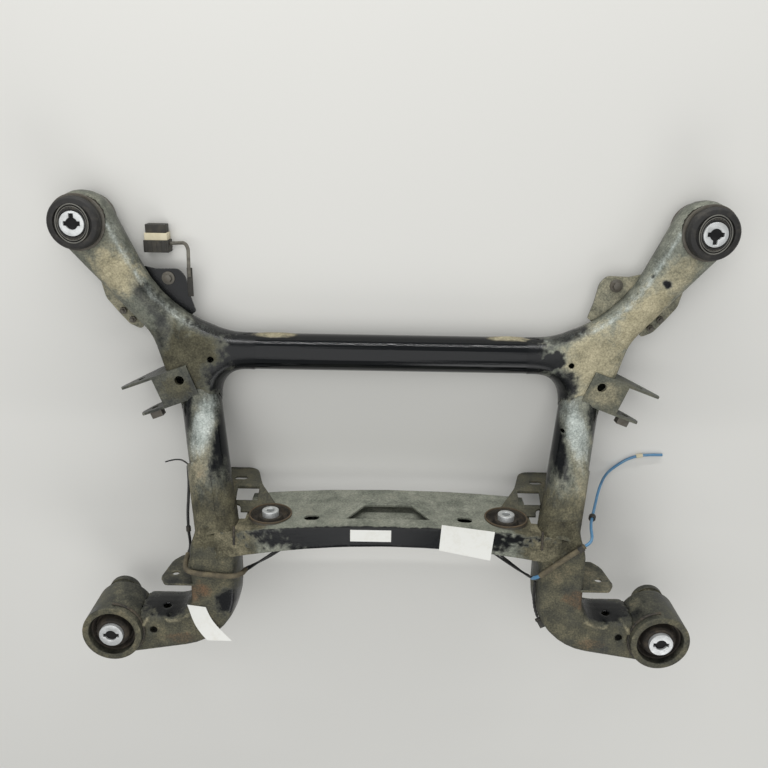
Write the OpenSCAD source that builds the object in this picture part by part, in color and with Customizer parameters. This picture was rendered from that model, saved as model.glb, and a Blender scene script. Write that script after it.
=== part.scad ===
// Rear axle subframe: pressed arms and feet on a round cross tube, two leg tubes,
// a box crossmember and six rubber bushes. Millimetres, +Z up, +Y to the front.
// The origin lies on the floor plane, midway between the four body bushes.

/* [Layout] */
// Distance between the two front body bush axes
front_bush_span = 1000; // [940:2:1060]
// Distance between the two rear body bush axes
rear_bush_span = 930; // [900:2:970]
// Distance from the front bush row to the rear bush row
bush_row_spacing = 674; // [650:2:700]

/* [Cross tube] */
// Outside diameter of the front cross tube
cross_tube_od = 62; // [54:1:63]
// Wall of the front cross tube
cross_tube_wall = 3; // [2:0.5:6]
// Distance of the cross tube axis ahead of the origin
cross_tube_y = 121.5; // [112:0.5:130]
// Half length of the cross tube, hidden ends included
cross_tube_half = 296; // [285:1:305]

/* [Front arms] */
// Height of the weld seam between the two arm pressings
arm_seam_z = 42; // [40:1:46]
// Height of each arm pressing above or below the seam
arm_half_h = 34; // [33:1:36]
// Radius of the arm's end round the front bush
arm_end_r = 48; // [46:1:52]
// Slope of the arm's inner edge
arm_inner_slope = 65; // [62:1:68]
// Bend radius of the arm's inner edge
arm_inner_bend_r = 195; // [160:5:200]
// Bend radius of the arm's outer edge
arm_outer_bend_r = 80; // [50:5:100]
// Rounding of the arm pressings' edges
arm_edge = 24; // [18:1:25]
// Sheet thickness of the pressings
press_wall = 4; // [3:0.5:5]
// Fillet between the arm and the leg
arm_fillet_r = 48; // [35:1:55]
// Distance from the middle at which the arm sleeves end on the cross tube
arm_sleeve_x = 226; // [215:1:235]
// Diameter of the drain hole in the arm's top
arm_drain_d = 10; // [5:0.5:16]

/* [Legs] */
// Outside diameter of the leg tubes
leg_od = 68; // [60:1:70]
// Wall of the leg tubes
leg_wall = 3.5; // [2:0.5:6]
// Sideways place of the leg's front end
leg_front_x = 328; // [322:1:334]
// Fore and aft place of the leg's front end
leg_front_y = 48; // [42:1:54]
// Height of the leg's front end
leg_front_z = 44; // [42:1:48]
// Sideways place of the leg's rear end
leg_rear_x = 283; // [280:1:290]
// Fore and aft place of the leg's rear end
leg_rear_y = -165; // [-172:1:-158]
// Height of the leg's rear end
leg_rear_z = 158; // [152:1:162]
// Diameter of the small hole in the right leg
leg_hole_d = 6; // [3:0.5:10]

/* [Crossmember] */
// Top face of the crossmember above the floor
beam_top_z = 187; // [182:1:192]
// Height of the crossmember's front wall
beam_front_h = 141; // [130:1:150]
// Height of the crossmember's rear wall
beam_rear_h = 96; // [90:1:110]
// Front face of the crossmember on the centre line
beam_front_y = -133; // [-138:1:-128]
// Width of the crossmember's top on the centre line
beam_top_w = 35; // [30:1:42]
// Bow radius of the front wall
beam_front_bow = 2700; // [2000:50:4000]
// Bow radius of the rear wall
beam_rear_bow = 1400; // [1200:50:2400]
// Sheet thickness of the crossmember
beam_wall = 3.5; // [2.5:0.5:5]

/* [Toe link brackets] */
// Front face of the bracket's flat
toe_bracket_y = -114; // [-120:1:-110]
// Sheet thickness of the bracket
toe_bracket_t = 4; // [3:0.5:6]
// Height of the slot's centre above the floor
toe_slot_z = 45; // [38:1:52]
// Width of the slot for the adjusting bolt
toe_slot_d = 13; // [8:0.5:16]
// Length of the slot between its end centres
toe_slot_l = 10; // [4:1:16]

/* [Feet] */
// Height of the weld seam between the two foot pressings
foot_seam_z = 143; // [140:1:146]
// Height of each foot pressing above or below the seam
foot_half_h = 43; // [40:1:44]
// Rounding of the foot pressings' edges
foot_edge = 10; // [8:1:16]
// Bend radius of the foot's rear edge
foot_bend_r = 110; // [90:5:115]
// Distance of the foot's inner side from the middle
foot_inner_x = 251; // [248:1:254]
// Distance of the foot's outer side from the middle
foot_outer_x = 332; // [328:1:336]
// Diameter of the holes in the foot
foot_hole_d = 12; // [8:0.5:16]
// Outside diameter of the rear bush ring
foot_ring_od = 100; // [94:1:106]
// Top of the rear bush ring above the floor
foot_ring_z = 200; // [196:1:206]
// Height of the rear bush ring
foot_ring_h = 84; // [74:1:90]
// Outward offset of the bump stop cup under the ring
cup_offset = 18; // [8:1:20]
// Diameter of the bump stop cup
cup_d = 58; // [50:1:60]
// Height of the bump stop cup's end above the floor
cup_end_z = 55; // [45:1:65]

/* [Front bushes] */
// Outside diameter of the front bush sleeve
front_sleeve_od = 82; // [76:1:84]
// Wall of the bush sleeves
sleeve_wall = 2.5; // [1.5:0.5:4]
// Top face of the front bush above the floor
front_bush_top_z = 100; // [96:1:110]
// Diameter of the front bush core
front_core_d = 39; // [34:1:42]

/* [Rear bushes] */
// Inside diameter of the rear bush ring
rear_rubber_d = 79; // [72:1:82]
// Diameter of the rear bush core
rear_core_d = 40; // [34:1:44]
// Diameter of the bolt bore in the body bush cores
body_bolt_d = 16; // [12:0.5:18]

/* [Differential bushes] */
// Distance between the two differential bush axes
diff_bush_span = 398; // [380:1:410]
// Height of the differential bush axes
diff_bush_z = 137; // [132:1:142]
// Outside diameter of the differential bush sleeve
diff_sleeve_od = 72; // [64:1:76]
// Diameter of the differential bush core
diff_core_d = 28; // [24:1:32]
// Diameter of the bolt bore in the differential bush core
diff_bolt_d = 13; // [10:0.5:16]

/* [Brackets] */
// Sheet thickness of the link brackets
bracket_t = 4; // [3:0.5:6]
// Diameter of the link bolt hole in the clevis ears
clevis_bolt_d = 12; // [8:0.5:14]
// Diameter of the hole in the clevis top
clevis_top_hole_d = 16; // [10:1:20]
// Diameter of the hole in the lower link plate
lower_link_bolt_d = 12; // [8:0.5:16]
// Sheet thickness of the small brackets
thin_t = 3; // [2:0.5:4]

/* [Leads] */
// Diameter of the brown conduit
conduit_d = 9; // [7:0.5:11]
// Diameter of the blue lead
blue_lead_d = 5; // [4:0.5:6]
// Diameter of the black lead
black_lead_d = 5; // [4:0.5:6]

/* [Hidden] */
$fn = 64;
fit = 0.2;
past = 1;
far = 400;
press_steps = 4;
arc_sag = 0.5;

paint = "#1c1d1f";
worn_paint = "#2b2a28";
rubber = "#26241f";
aluminium = "#c3c5c6";
rusty = "#6b4a2e";
steel = "#8a8680";
conduit_brown = "#5a5142";
lead_black = "#151515";
lead_blue = "#4f8fc4";
cream = "#d8cfb4";

left = -1;
right = 1;

front_bush = [front_bush_span / 2, bush_row_spacing / 2];
rear_bush = [rear_bush_span / 2, -bush_row_spacing / 2];
// The feet stand clear of the differential bushes, and the legs move out with them
foot_clear = 13;
foot_out = max(0, (diff_bush_span + diff_sleeve_od) / 2 + foot_clear - foot_inner_x);
foot_in_x = foot_inner_x + foot_out;
foot_side_x = foot_outer_x + foot_out;
leg_front = [leg_front_x, leg_front_y, leg_front_z];
leg_rear = [leg_rear_x + foot_out, leg_rear_y, leg_rear_z];
leg_hole_at = 0.2;
leg_hole_in = 0.4 * leg_od;
arm_half_w = cross_tube_od / 2 + 1.5;
arm_top_z = arm_seam_z + arm_half_h;
foot_top_z = foot_seam_z + foot_half_h;

// Mirrors the right-hand piece to the side that is asked for
module on_side(side) { mirror([side < 0 ? 1 : 0, 0, 0]) children(); }

// A round bar from one point to another, longer by extra at both ends
module bar(from, to, d, extra = 0) {
    way = to - from;
    translate(from)
        rotate([0, acos(way.z / norm(way)), atan2(way.y, way.x)])
            translate([0, 0, -extra])
                cylinder(h = norm(way) + 2 * extra, d = d);
}

// A hollow round bar
module pipe(from, to, d, wall) {
    difference() {
        bar(from, to, d);
        bar(from, to, d - 2 * wall, past);
    }
}

// Outlines with rounded corners
function unit(v) = v / norm(v);
function turned(v, a) = [v.x * cos(a) - v.y * sin(a), v.x * sin(a) + v.y * cos(a)];
function flat2(v) = [v.x, v.y];

// Points and outward normals of one rounded corner
function corner(a, b, c) = let(
        d1 = unit(flat2(b) - flat2(a)),
        d2 = unit(flat2(c) - flat2(b)),
        turn = atan2(d1.x * d2.y - d1.y * d2.x, d1 * d2),
        way = turn < 0 ? -1 : 1,
        n1 = [d1.y, -d1.x],
        start = flat2(b) - d1 * b[2] * tan(abs(turn) / 2),
        centre = start - way * b[2] * n1,
        step = 2 * acos(1 - arc_sag / max(b[2], 2 * arc_sag)),
        steps = max(1, ceil(abs(turn) / step)))
    [for (k = [0:steps]) let(n = turned(n1, turn * k / steps)) [centre + way * b[2] * n, n]];

// A closed outline from corners [x, y, radius], anticlockwise
function outline(corners) = let(m = len(corners))
    [for (i = [0:m - 1]) each corner(corners[(i + m - 1) % m], corners[i], corners[(i + 1) % m])];

function ring(line, inset, z) = [for (p = line) [each (p[0] - inset * p[1]), z]];

// Rings of a pressing from its seam to its crown
function press_rings(line, inset, z0, h, edge) =
    [for (k = [0:press_steps]) let(a = 90 * k / press_steps)
        ring(line, inset + edge * (1 - cos(a)), z0 + h * sin(a))];

function side_faces(m, base, steps, flip) =
    [for (k = [0:steps - 1], i = [0:m - 1]) let(
            a = base + k * m + i,
            b = base + k * m + (i + 1) % m)
        each flip ? [[a, b, b + m], [a, b + m, a + m]] : [[b + m, b, a], [a + m, b + m, a]]];

function cap_face(m, base, flip) = flip
    ? [for (i = [0:m - 1]) base + m - 1 - i]
    : [for (i = [0:m - 1]) base + i];

// A flat cap over an outline that also bends inwards, split into triangles corner by corner
function turn_of(a, b, c) = (b.x - a.x) * (c.y - a.y) - (b.y - a.y) * (c.x - a.x);
function covers(a, b, c, p) = turn_of(a, b, p) >= 0 && turn_of(b, c, p) >= 0 && turn_of(c, a, p) >= 0;
function is_ear(p, ids, i) = let(
        m = len(ids),
        a = ids[(i + m - 1) % m],
        b = ids[i],
        c = ids[(i + 1) % m])
    turn_of(p[a], p[b], p[c]) > 0
    && len([for (k = ids) if (k != a && k != b && k != c && covers(p[a], p[b], p[c], p[k])) k]) == 0;
function first_ear(p, ids, i = 0) =
    i >= len(ids) - 1 || is_ear(p, ids, i) ? i : first_ear(p, ids, i + 1);
function triangles(p, ids) = len(ids) <= 3 ? [ids] : let(
        m = len(ids),
        i = first_ear(p, ids))
    [[ids[(i + m - 1) % m], ids[i], ids[(i + 1) % m]],
     each triangles(p, [for (k = [0:m - 1]) if (k != i) ids[k]])];
function cap_faces(points, base, flip) =
    [for (t = triangles(points, [for (i = [0:len(points) - 1]) i]))
        flip ? [base + t[2], base + t[1], base + t[0]] : [base + t[0], base + t[1], base + t[2]]];

// An open pressed shell: h above zero rises from the seam, h below zero hangs from it
module pressed_shell(line, z0, h, edge) {
    m = len(line);
    up = h > 0;
    inner_h = up ? h - press_wall : h + press_wall;
    inner = m * (press_steps + 1);
    outer_rings = press_rings(line, 0, z0, h, edge);
    inner_rings = press_rings(line, press_wall, z0, inner_h, edge);
    points = [for (r = outer_rings) each r, each [for (r = inner_rings) each r]];
    faces = [
        each side_faces(m, 0, press_steps, !up),
        each cap_faces(outer_rings[press_steps], m * press_steps, up),
        each side_faces(m, inner, press_steps, up),
        each cap_faces(inner_rings[press_steps], inner + m * press_steps, !up),
        for (i = [0:m - 1]) let(j = (i + 1) % m)
            up ? [i, j, inner + j, inner + i] : [inner + i, inner + j, j, i]
    ];
    polyhedron(points = points, faces = faces, convexity = 6);
}

// The full body between two pressings, used to trim what is welded to them
module pressed_body(line, z0, h, edge) {
    m = len(line);
    lower = press_rings(line, 0, z0, -h, edge);
    upper = press_rings(line, 0, z0, h, edge);
    rings = [for (k = [press_steps:-1:1]) lower[k], each upper];
    points = [for (r = rings) each r];
    faces = [each side_faces(m, 0, 2 * press_steps, false),
             each cap_faces(rings[0], 0, false),
             each cap_faces(rings[2 * press_steps], 2 * press_steps * m, true)];
    polyhedron(points = points, faces = faces, convexity = 6);
}

// Arm outline, right-hand side
arm_edge_way = [-sin(arm_inner_slope), cos(arm_inner_slope)];
arm_edge_point = front_bush + arm_end_r * arm_edge_way;
function arm_edge_x(y) = arm_edge_point.x + (y - arm_edge_point.y) / tan(arm_inner_slope);
arm_leg_inner_x = leg_front_x - leg_od / 2 - 6;
arm_leg_outer_x = leg_front_x + leg_od / 2 + 4;
arm_leg_end_r = leg_od / 2 + 4;
arm_mouth_y = leg_front_y - 26;
arm_mouth_bend_r = 60;
arm_tail = 90;
arm_front_y = front_bush.y + arm_end_r;
arm_outer_x = front_bush.x + arm_end_r + 2;
arm_outer_y = front_bush.y - 22;
arm_hip = [arm_leg_outer_x + 36, cross_tube_y + 29];
sleeve_tail = 70;
sleeve_end_r = arm_half_w - 0.5;
arm_line = outline([
    [arm_outer_x, arm_front_y, arm_end_r],
    [arm_edge_x(arm_front_y), arm_front_y, arm_end_r],
    [arm_edge_x(cross_tube_y + arm_half_w), cross_tube_y + arm_half_w, arm_inner_bend_r],
    [arm_sleeve_x - sleeve_tail, cross_tube_y + arm_half_w, sleeve_end_r],
    [arm_sleeve_x - sleeve_tail, cross_tube_y - arm_half_w, sleeve_end_r],
    [arm_leg_inner_x, cross_tube_y - arm_half_w, arm_fillet_r],
    [arm_leg_inner_x, arm_mouth_y - arm_tail, arm_leg_end_r],
    [arm_leg_outer_x, arm_mouth_y - arm_tail, arm_leg_end_r],
    [arm_leg_outer_x, arm_mouth_y, arm_mouth_bend_r],
    [arm_hip.x, arm_hip.y, arm_outer_bend_r],
    [arm_outer_x, arm_outer_y, arm_end_r]
]);
arm_drain = [leg_front_x - 26, cross_tube_y - 8];

// Foot outline, right-hand side
foot_mouth_y = beam_front_y + 15;
foot_tail = 60;
foot_ring_r = foot_ring_od / 2;
foot_skirt = 6;
foot_bottom_slope = 0.17;
foot_bottom_way = unit([1, -foot_bottom_slope]);
foot_bottom_point = rear_bush + (foot_ring_r + foot_skirt) * [foot_bottom_way.y, -foot_bottom_way.x];
function foot_bottom_y(x) = foot_bottom_point.y - (x - foot_bottom_point.x) * foot_bottom_slope;
foot_neck_y = rear_bush.y + foot_ring_r - 20;
foot_end_r = 38;
foot_neck_r = 30;
foot_far_x = rear_bush.x + 10;
foot_far_r = 30;
foot_line = outline([
    [foot_in_x, foot_mouth_y + foot_tail, foot_end_r],
    [foot_in_x, foot_bottom_y(foot_in_x), foot_bend_r],
    [foot_far_x, foot_bottom_y(foot_far_x), foot_far_r],
    [foot_far_x, foot_neck_y, foot_far_r],
    [foot_side_x + 3, foot_neck_y, foot_neck_r],
    [foot_side_x, foot_mouth_y + foot_tail, foot_end_r]
]);

// Bars and bores that the pressings are trimmed by
module leg_bar() { bar(leg_front, leg_rear, leg_od + fit, fit); }
module tube_bar(half = cross_tube_half) {
    bar([-half, cross_tube_y, arm_seam_z], [half, cross_tube_y, arm_seam_z], cross_tube_od + fit, fit);
}
module front_bore() {
    translate([front_bush.x, front_bush.y, -past]) cylinder(h = far, d = front_sleeve_od + fit);
}
module foot_bore() {
    translate([rear_bush.x, rear_bush.y, -past]) cylinder(h = far, d = foot_ring_od + fit);
}
module arm_ends() {
    translate([arm_sleeve_x - far, -far / 2, -past]) cube([far, far, far]);
    translate([0, arm_mouth_y - far, -past]) cube([far, far, far]);
}
module foot_end() { translate([0, foot_mouth_y, -past]) cube([far, far, far]); }

// The welded arm and the welded foot as full bodies
module arm_body() {
    difference() {
        pressed_body(arm_line, arm_seam_z, arm_half_h, arm_edge);
        arm_ends();
    }
}
module foot_body() {
    difference() {
        pressed_body(foot_line, foot_seam_z, foot_half_h, foot_edge);
        foot_end();
    }
}

module front_cross_tube() {
    color(paint)
        pipe([-cross_tube_half, cross_tube_y, arm_seam_z], [cross_tube_half, cross_tube_y, arm_seam_z],
             cross_tube_od, cross_tube_wall);
}

module arm_shell(side, h) {
    color(worn_paint) on_side(side) difference() {
        pressed_shell(arm_line, arm_seam_z, h, arm_edge);
        arm_ends();
        leg_bar();
        tube_bar();
        front_bore();
        if (h > 0)
            translate([arm_drain.x, arm_drain.y, arm_seam_z])
                cylinder(h = arm_half_h + past, d = arm_drain_d);
        if (h > 0) in_clevis() clevis_top_hole();
    }
}

module leg_tube(side) {
    color(paint) on_side(side) difference() {
        pipe(leg_front, leg_rear, leg_od, leg_wall);
        if (side == right)
            translate(leg_front + leg_hole_at * (leg_rear - leg_front))
                translate([-leg_hole_in, 0, 0]) cylinder(h = leg_od, d = leg_hole_d);
    }
}

module foot_shell(side, h) {
    color(worn_paint) on_side(side) difference() {
        pressed_shell(foot_line, foot_seam_z, h, foot_edge);
        foot_end();
        leg_bar();
        foot_bore();
        if (h > 0) foot_holes();
    }
}

// A hole in the foot's top and one in its front wall
foot_top_hole_in = 67;
foot_wall_hole_in = 85;
module foot_holes() {
    translate([rear_bush.x - foot_top_hole_in, rear_bush.y, foot_seam_z + foot_half_h / 2])
        cylinder(h = foot_half_h, d = foot_hole_d);
    translate([rear_bush.x - foot_wall_hole_in, foot_neck_y + far / 4, foot_seam_z + foot_hole_d])
        rotate([90, 0, 0]) cylinder(h = far / 4 + 2 * press_wall, d = foot_hole_d);
}

// Crossmember outline seen from above: between the two bowed walls
beam_rear_y = beam_front_y - beam_top_w;
beam_half_l = foot_in_x + 34;
module bow(y, r) { translate([0, y - r]) circle(r = r, $fn = 720); }
module beam_ends() { translate([-beam_half_l, beam_front_y - far]) square([2 * beam_half_l, 2 * far]); }
module front_sheet() {
    intersection() {
        difference() {
            bow(beam_front_y, beam_front_bow);
            bow(beam_front_y - beam_wall, beam_front_bow - beam_wall);
        }
        beam_ends();
    }
}
module rear_sheet() {
    intersection() {
        difference() {
            bow(beam_rear_y + beam_wall, beam_rear_bow + beam_wall);
            bow(beam_rear_y, beam_rear_bow);
        }
        beam_ends();
    }
}
module top_sheet() {
    intersection() {
        difference() {
            bow(beam_front_y, beam_front_bow);
            bow(beam_rear_y, beam_rear_bow);
        }
        beam_ends();
    }
}

diff_bush = [diff_bush_span / 2, diff_bush_z];
module diff_bores(d) {
    for (side = [left, right])
        translate([side * diff_bush.x, 0, diff_bush.y])
            rotate([90, 0, 0]) cylinder(h = far, d = d);
}
module beam_trim() {
    for (side = [left, right]) on_side(side) {
        foot_body();
        leg_bar();
    }
    diff_bores(diff_sleeve_od + fit);
}

// Windows of the front wall, seen from the front
window_top_z = beam_top_z - 31;
window_bottom_z = beam_top_z - 81;
window_top_half = 70;
window_bottom_half = 40;
oval_z = beam_top_z - 37;
oval_x = diff_bush.x - 71;
oval_d = 18;
oval_l = 8;
module front_windows() {
    rotate([90, 0, 0]) linear_extrude(height = far) {
        polygon([[-window_top_half, window_top_z], [window_top_half, window_top_z],
                 [window_bottom_half, window_bottom_z], [-window_bottom_half, window_bottom_z]]);
        for (side = [left, right]) translate([side * oval_x, oval_z]) {
            square([oval_l, oval_d], center = true);
            for (end = [-0.5, 0.5]) translate([end * oval_l, 0]) circle(d = oval_d);
        }
    }
}

module crossmember_channel() {
    color(paint) difference() {
        union() {
            translate([0, 0, beam_top_z - beam_front_h]) linear_extrude(height = beam_front_h) front_sheet();
            translate([0, 0, beam_top_z - beam_wall]) linear_extrude(height = beam_wall) top_sheet();
        }
        beam_trim();
        front_windows();
        beam_lower_ends();
    }
}

// The front wall's lower corners, cut away below the feet
beam_corner_in = 10;
module beam_lower_ends() {
    for (side = [left, right]) on_side(side)
        translate([foot_in_x - beam_corner_in, beam_front_y - far, -past])
            cube([far, 2 * far, foot_seam_z + past]);
}

module crossmember_closing_plate() {
    color(paint) difference() {
        translate([0, 0, beam_top_z - beam_rear_h])
            linear_extrude(height = beam_rear_h - beam_wall) rear_sheet();
        beam_trim();
    }
}

// Toe link bracket: a flat with a slot, stepped back onto the crossmember's front wall
toe_step_z = toe_slot_z + 13;
toe_step_h = 40;
toe_top_z = foot_seam_z - 17;
toe_inner_x = foot_in_x - 61;
toe_outer_x = foot_side_x - 2;
toe_slot_x = foot_in_x + 13;
toe_seat_y = beam_front_y - (toe_inner_x + foot_in_x) ^ 2 / (8 * beam_front_bow);
toe_window_x = foot_in_x - 23;
toe_window_w = 38;
toe_window_z = toe_step_z + 10;
toe_window_h = 24;
toe_shoulder_z = toe_top_z - 22;
toe_waist = [toe_inner_x + 34, toe_step_z + 4];
toe_foot_x = toe_inner_x + 50;
module toe_profile() {
    y0 = toe_bracket_y;
    y1 = toe_seat_y + toe_bracket_t;
    t = toe_bracket_t;
    polygon([[y0, 0], [y0, toe_step_z], [y1, toe_step_z + toe_step_h], [y1, toe_top_z],
             [y1 - t, toe_top_z], [y1 - t, toe_step_z + toe_step_h - t / 2],
             [y0 - t, toe_step_z - t / 2], [y0 - t, 0]]);
}
module toe_outline() {
    polygon([for (p = outline([
        [toe_outer_x, 0, 8], [toe_outer_x, toe_top_z, 2], [toe_inner_x, toe_top_z, 2],
        [toe_inner_x, toe_shoulder_z, 10], [toe_waist.x, toe_waist.y, 30], [toe_foot_x, 0, 24]])) p[0]]);
}
module toe_link_bracket(side) {
    color(worn_paint) on_side(side) difference() {
        intersection() {
            translate([toe_inner_x, 0, 0]) rotate([90, 0, 90])
                linear_extrude(height = toe_outer_x - toe_inner_x) toe_profile();
            rotate([90, 0, 0]) linear_extrude(height = far) toe_outline();
        }
        for (end = [-0.5, 0.5])
            translate([toe_slot_x + end * toe_slot_l, 0, toe_slot_z])
                rotate([90, 0, 0]) cylinder(h = far, d = toe_slot_d);
        translate([toe_slot_x - toe_slot_l / 2, -far, toe_slot_z - toe_slot_d / 2])
            cube([toe_slot_l, far, toe_slot_d]);
        translate([toe_window_x, -far, toe_window_z]) cube([toe_window_w, far, toe_window_h]);
        foot_body();
        leg_bar();
        translate([0, 0, beam_top_z - beam_front_h]) linear_extrude(height = beam_front_h)
            bow(beam_front_y, beam_front_bow);
        diff_bores(diff_sleeve_od + 2 * diff_room);
    }
}

// Rear bush ring and the bump stop cup under it
foot_ring_base_z = foot_ring_z - foot_ring_h;
cup_flange_t = 4;
cup_groove = 3;
cup_nose = 6;
cup_nose_h = 8;
module at_rear_bush(z) { translate([rear_bush.x, rear_bush.y, z]) children(); }
module foot_ring(side) {
    color(worn_paint) on_side(side) at_rear_bush(foot_ring_base_z) difference() {
        cylinder(h = foot_ring_h, d = foot_ring_od);
        translate([0, 0, -past]) cylinder(h = foot_ring_h + 2 * past, d = rear_rubber_d);
    }
}
module bump_stop_cup(side) {
    r = cup_d / 2;
    h = foot_ring_base_z - cup_flange_t - cup_end_z;
    color(worn_paint) on_side(side) at_rear_bush(0) {
        translate([0, 0, foot_ring_base_z - cup_flange_t])
            cylinder(h = cup_flange_t, d = rear_rubber_d + (foot_ring_od - rear_rubber_d) / 2);
        translate([cup_offset, 0, cup_end_z]) rotate_extrude()
            polygon([[0, 0], [r - cup_nose, 0], [r, cup_nose_h], [r, h / 3], [r - cup_groove, h / 3],
                     [r - cup_groove, h / 2], [r, h / 2], [r, h], [0, h]]);
    }
}

// Link clevis: a top plate with two ears, set at an angle on the arm's outer edge
clevis_origin = [arm_leg_outer_x, arm_mouth_y + 16];
clevis_slope = 21;
clevis_gap = 50;
clevis_top_z = arm_top_z + bracket_t;
clevis_bolt = [40, arm_seam_z + 20];
clevis_root = -30;
clevis_top_root = -46;
clevis_top_l = 64;
clevis_mouth = 42;
clevis_hole = [-25, clevis_gap - 17];
front_ear_l = 76;
rear_ear_l = 63;
ear_tip_z = clevis_top_z - 3;
module clevis_top_hole() {
    translate([clevis_hole.x, clevis_hole.y, arm_seam_z]) cylinder(h = far, d = clevis_top_hole_d);
}
module in_clevis() {
    translate([clevis_origin.x, clevis_origin.y, 0]) rotate([0, 0, -clevis_slope]) children();
}
// An ear of length l, from its root's low edge z up to its tip's low corner
module clevis_ear(y, l, root_z, tip_z) {
    translate([0, y, 0]) rotate([90, 0, 0]) linear_extrude(height = bracket_t)
        polygon([for (p = outline([
            [clevis_root, root_z, 2], [0.16 * l, root_z, 30], [0.72 * l, tip_z - 18, 30], [l, tip_z, 4],
            [l - 2, ear_tip_z, 4], [l / 4, clevis_top_z, 30], [clevis_root, clevis_top_z, 2]])) p[0]]);
}
clevis_reach = clevis_gap + 2 * bracket_t;
module clevis_plate() {
    difference() {
        translate([clevis_top_root, -bracket_t, clevis_top_z - bracket_t])
            cube([clevis_top_l, clevis_reach, bracket_t]);
        translate([clevis_mouth, clevis_gap / 2, 0]) cylinder(h = far, r = clevis_gap / 2 - past);
        clevis_top_hole();
    }
}
// The two ears, stepped to sit under the top plate
module clevis_ears() {
    difference() {
        union() {
            clevis_ear(clevis_gap + bracket_t, front_ear_l, 16, 66);
            clevis_ear(0, rear_ear_l, 30, 64);
        }
        translate([clevis_top_root, -bracket_t - past, clevis_top_z - bracket_t - fit])
            cube([clevis_top_l + fit, clevis_reach + 2 * past, far]);
        translate([clevis_bolt.x, far / 2, clevis_bolt.y])
            rotate([90, 0, 0]) cylinder(h = far, d = clevis_bolt_d);
    }
}
module link_clevis(side) {
    color(worn_paint) on_side(side) difference() {
        in_clevis() {
            clevis_plate();
            clevis_ears();
        }
        arm_body();
        leg_bar();
    }
}
nut_size = [20, 13, 16];
module clevis_nuts() {
    color(paint) for (side = [left, right]) on_side(side) in_clevis() difference() {
        translate([clevis_bolt.x - nut_size.x / 2, -bracket_t - nut_size.y, clevis_bolt.y - nut_size.z / 2])
            cube(nut_size);
        translate([clevis_bolt.x, 0, clevis_bolt.y])
            rotate([90, 0, 0]) cylinder(h = far, d = clevis_bolt_d - 2);
    }
}

// Lower link plate, on the foot's outer side
lower_link_y = foot_mouth_y - 127;
lower_link_bolt = [foot_side_x + 30, foot_seam_z + 9];
lower_link_root_x = foot_side_x - 41;
module lower_link_plate(side) {
    color(rusty) on_side(side) difference() {
        translate([0, lower_link_y, 0]) rotate([90, 0, 0]) linear_extrude(height = bracket_t)
            polygon([for (p = outline([
                [lower_link_root_x, foot_seam_z - 51, 2], [foot_side_x + 32, foot_seam_z - 51, 8],
                [foot_side_x + 45, foot_seam_z - 31, 20], [foot_side_x + 52, foot_seam_z + 23, 10],
                [foot_side_x + 41, foot_top_z, 8], [lower_link_root_x, foot_top_z, 2]])) p[0]]);
        translate([lower_link_bolt.x, lower_link_y + past, lower_link_bolt.y])
            rotate([90, 0, 0]) cylinder(h = bracket_t + 2 * past, d = lower_link_bolt_d);
        foot_body();
    }
}

// Sensor bracket on the arm's inner edge, with its bolt
sensor_bracket_z = arm_seam_z - 14;
sensor_bolt_y = cross_tube_y + 120.5;
sensor_bolt = [arm_edge_x(sensor_bolt_y) - 28.5, sensor_bolt_y];
sensor_bolt_d = 8;
sensor_bolt_head = [14, 6];
sensor_washer = [22, 2];
sensor_shank = 8;
module sensor_bracket(side) {
    color(worn_paint) on_side(side) difference() {
        translate([sensor_bolt.x, sensor_bolt.y, sensor_bracket_z]) linear_extrude(height = thin_t)
            polygon([for (p = outline([[-29, -67, 3], [46, -17, 3], [42, 20, 3], [20, 15, 8], [-18, 16, 12],
                                       [-29, 2, 12], [-35, -30, 10], [-43, -56, 3]])) p[0]]);
        translate([sensor_bolt.x, sensor_bolt.y, 0]) cylinder(h = far, d = sensor_bolt_d + fit);
        arm_body();
    }
}
module sensor_bracket_bolts() {
    color(steel) for (side = [left, right]) on_side(side) translate([sensor_bolt.x, sensor_bolt.y, 0]) {
        translate([0, 0, sensor_bracket_z + thin_t]) cylinder(h = sensor_washer[1], d = sensor_washer[0]);
        translate([0, 0, sensor_bracket_z + thin_t + sensor_washer[1]])
            cylinder(h = sensor_bolt_head[1], d = sensor_bolt_head[0], $fn = 6);
        translate([0, 0, sensor_bracket_z - sensor_shank])
            cylinder(h = sensor_shank + thin_t, d = sensor_bolt_d);
    }
}

// Flange with two studs on the arm's outer edge, laid along the flank from the hip
stud_flange_z = arm_seam_z - 22;
flank_slope = atan2(arm_outer_y - arm_hip.y, arm_outer_x - arm_hip.x);
studs = [for (p = [[61, -17.7], [39.8, -16.6]]) arm_hip + turned(p, flank_slope)];
stud_d = 6;
stud_out = 6;
stud_nut = [12, 6];
module stud_flange(side) {
    color(worn_paint) on_side(side) difference() {
        translate([arm_hip.x, arm_hip.y, stud_flange_z]) rotate(flank_slope) linear_extrude(height = thin_t)
            polygon([for (p = outline([[15.4, -17.1, 6], [37.5, -26.8, 10], [66.6, -26.2, 16],
                                       [95.7, -24.2, 12], [127.1, -6.7, 6], [112.4, 9.6, 3],
                                       [41.8, 13.4, 3]])) p[0]]);
        for (s = studs) translate([s.x, s.y, 0]) cylinder(h = far, d = stud_d + fit);
        arm_body();
    }
}
module stud_flange_nuts() {
    color(steel) for (side = [left, right], s = studs) on_side(side) translate([s.x, s.y, 0]) {
        translate([0, 0, stud_flange_z + thin_t]) cylinder(h = stud_nut[1], d = stud_nut[0], $fn = 6);
        translate([0, 0, stud_flange_z - stud_out]) cylinder(h = stud_out + thin_t, d = stud_d);
        translate([0, 0, stud_flange_z + thin_t + stud_nut[1]]) cylinder(h = stud_out, d = stud_d);
    }
}

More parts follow.
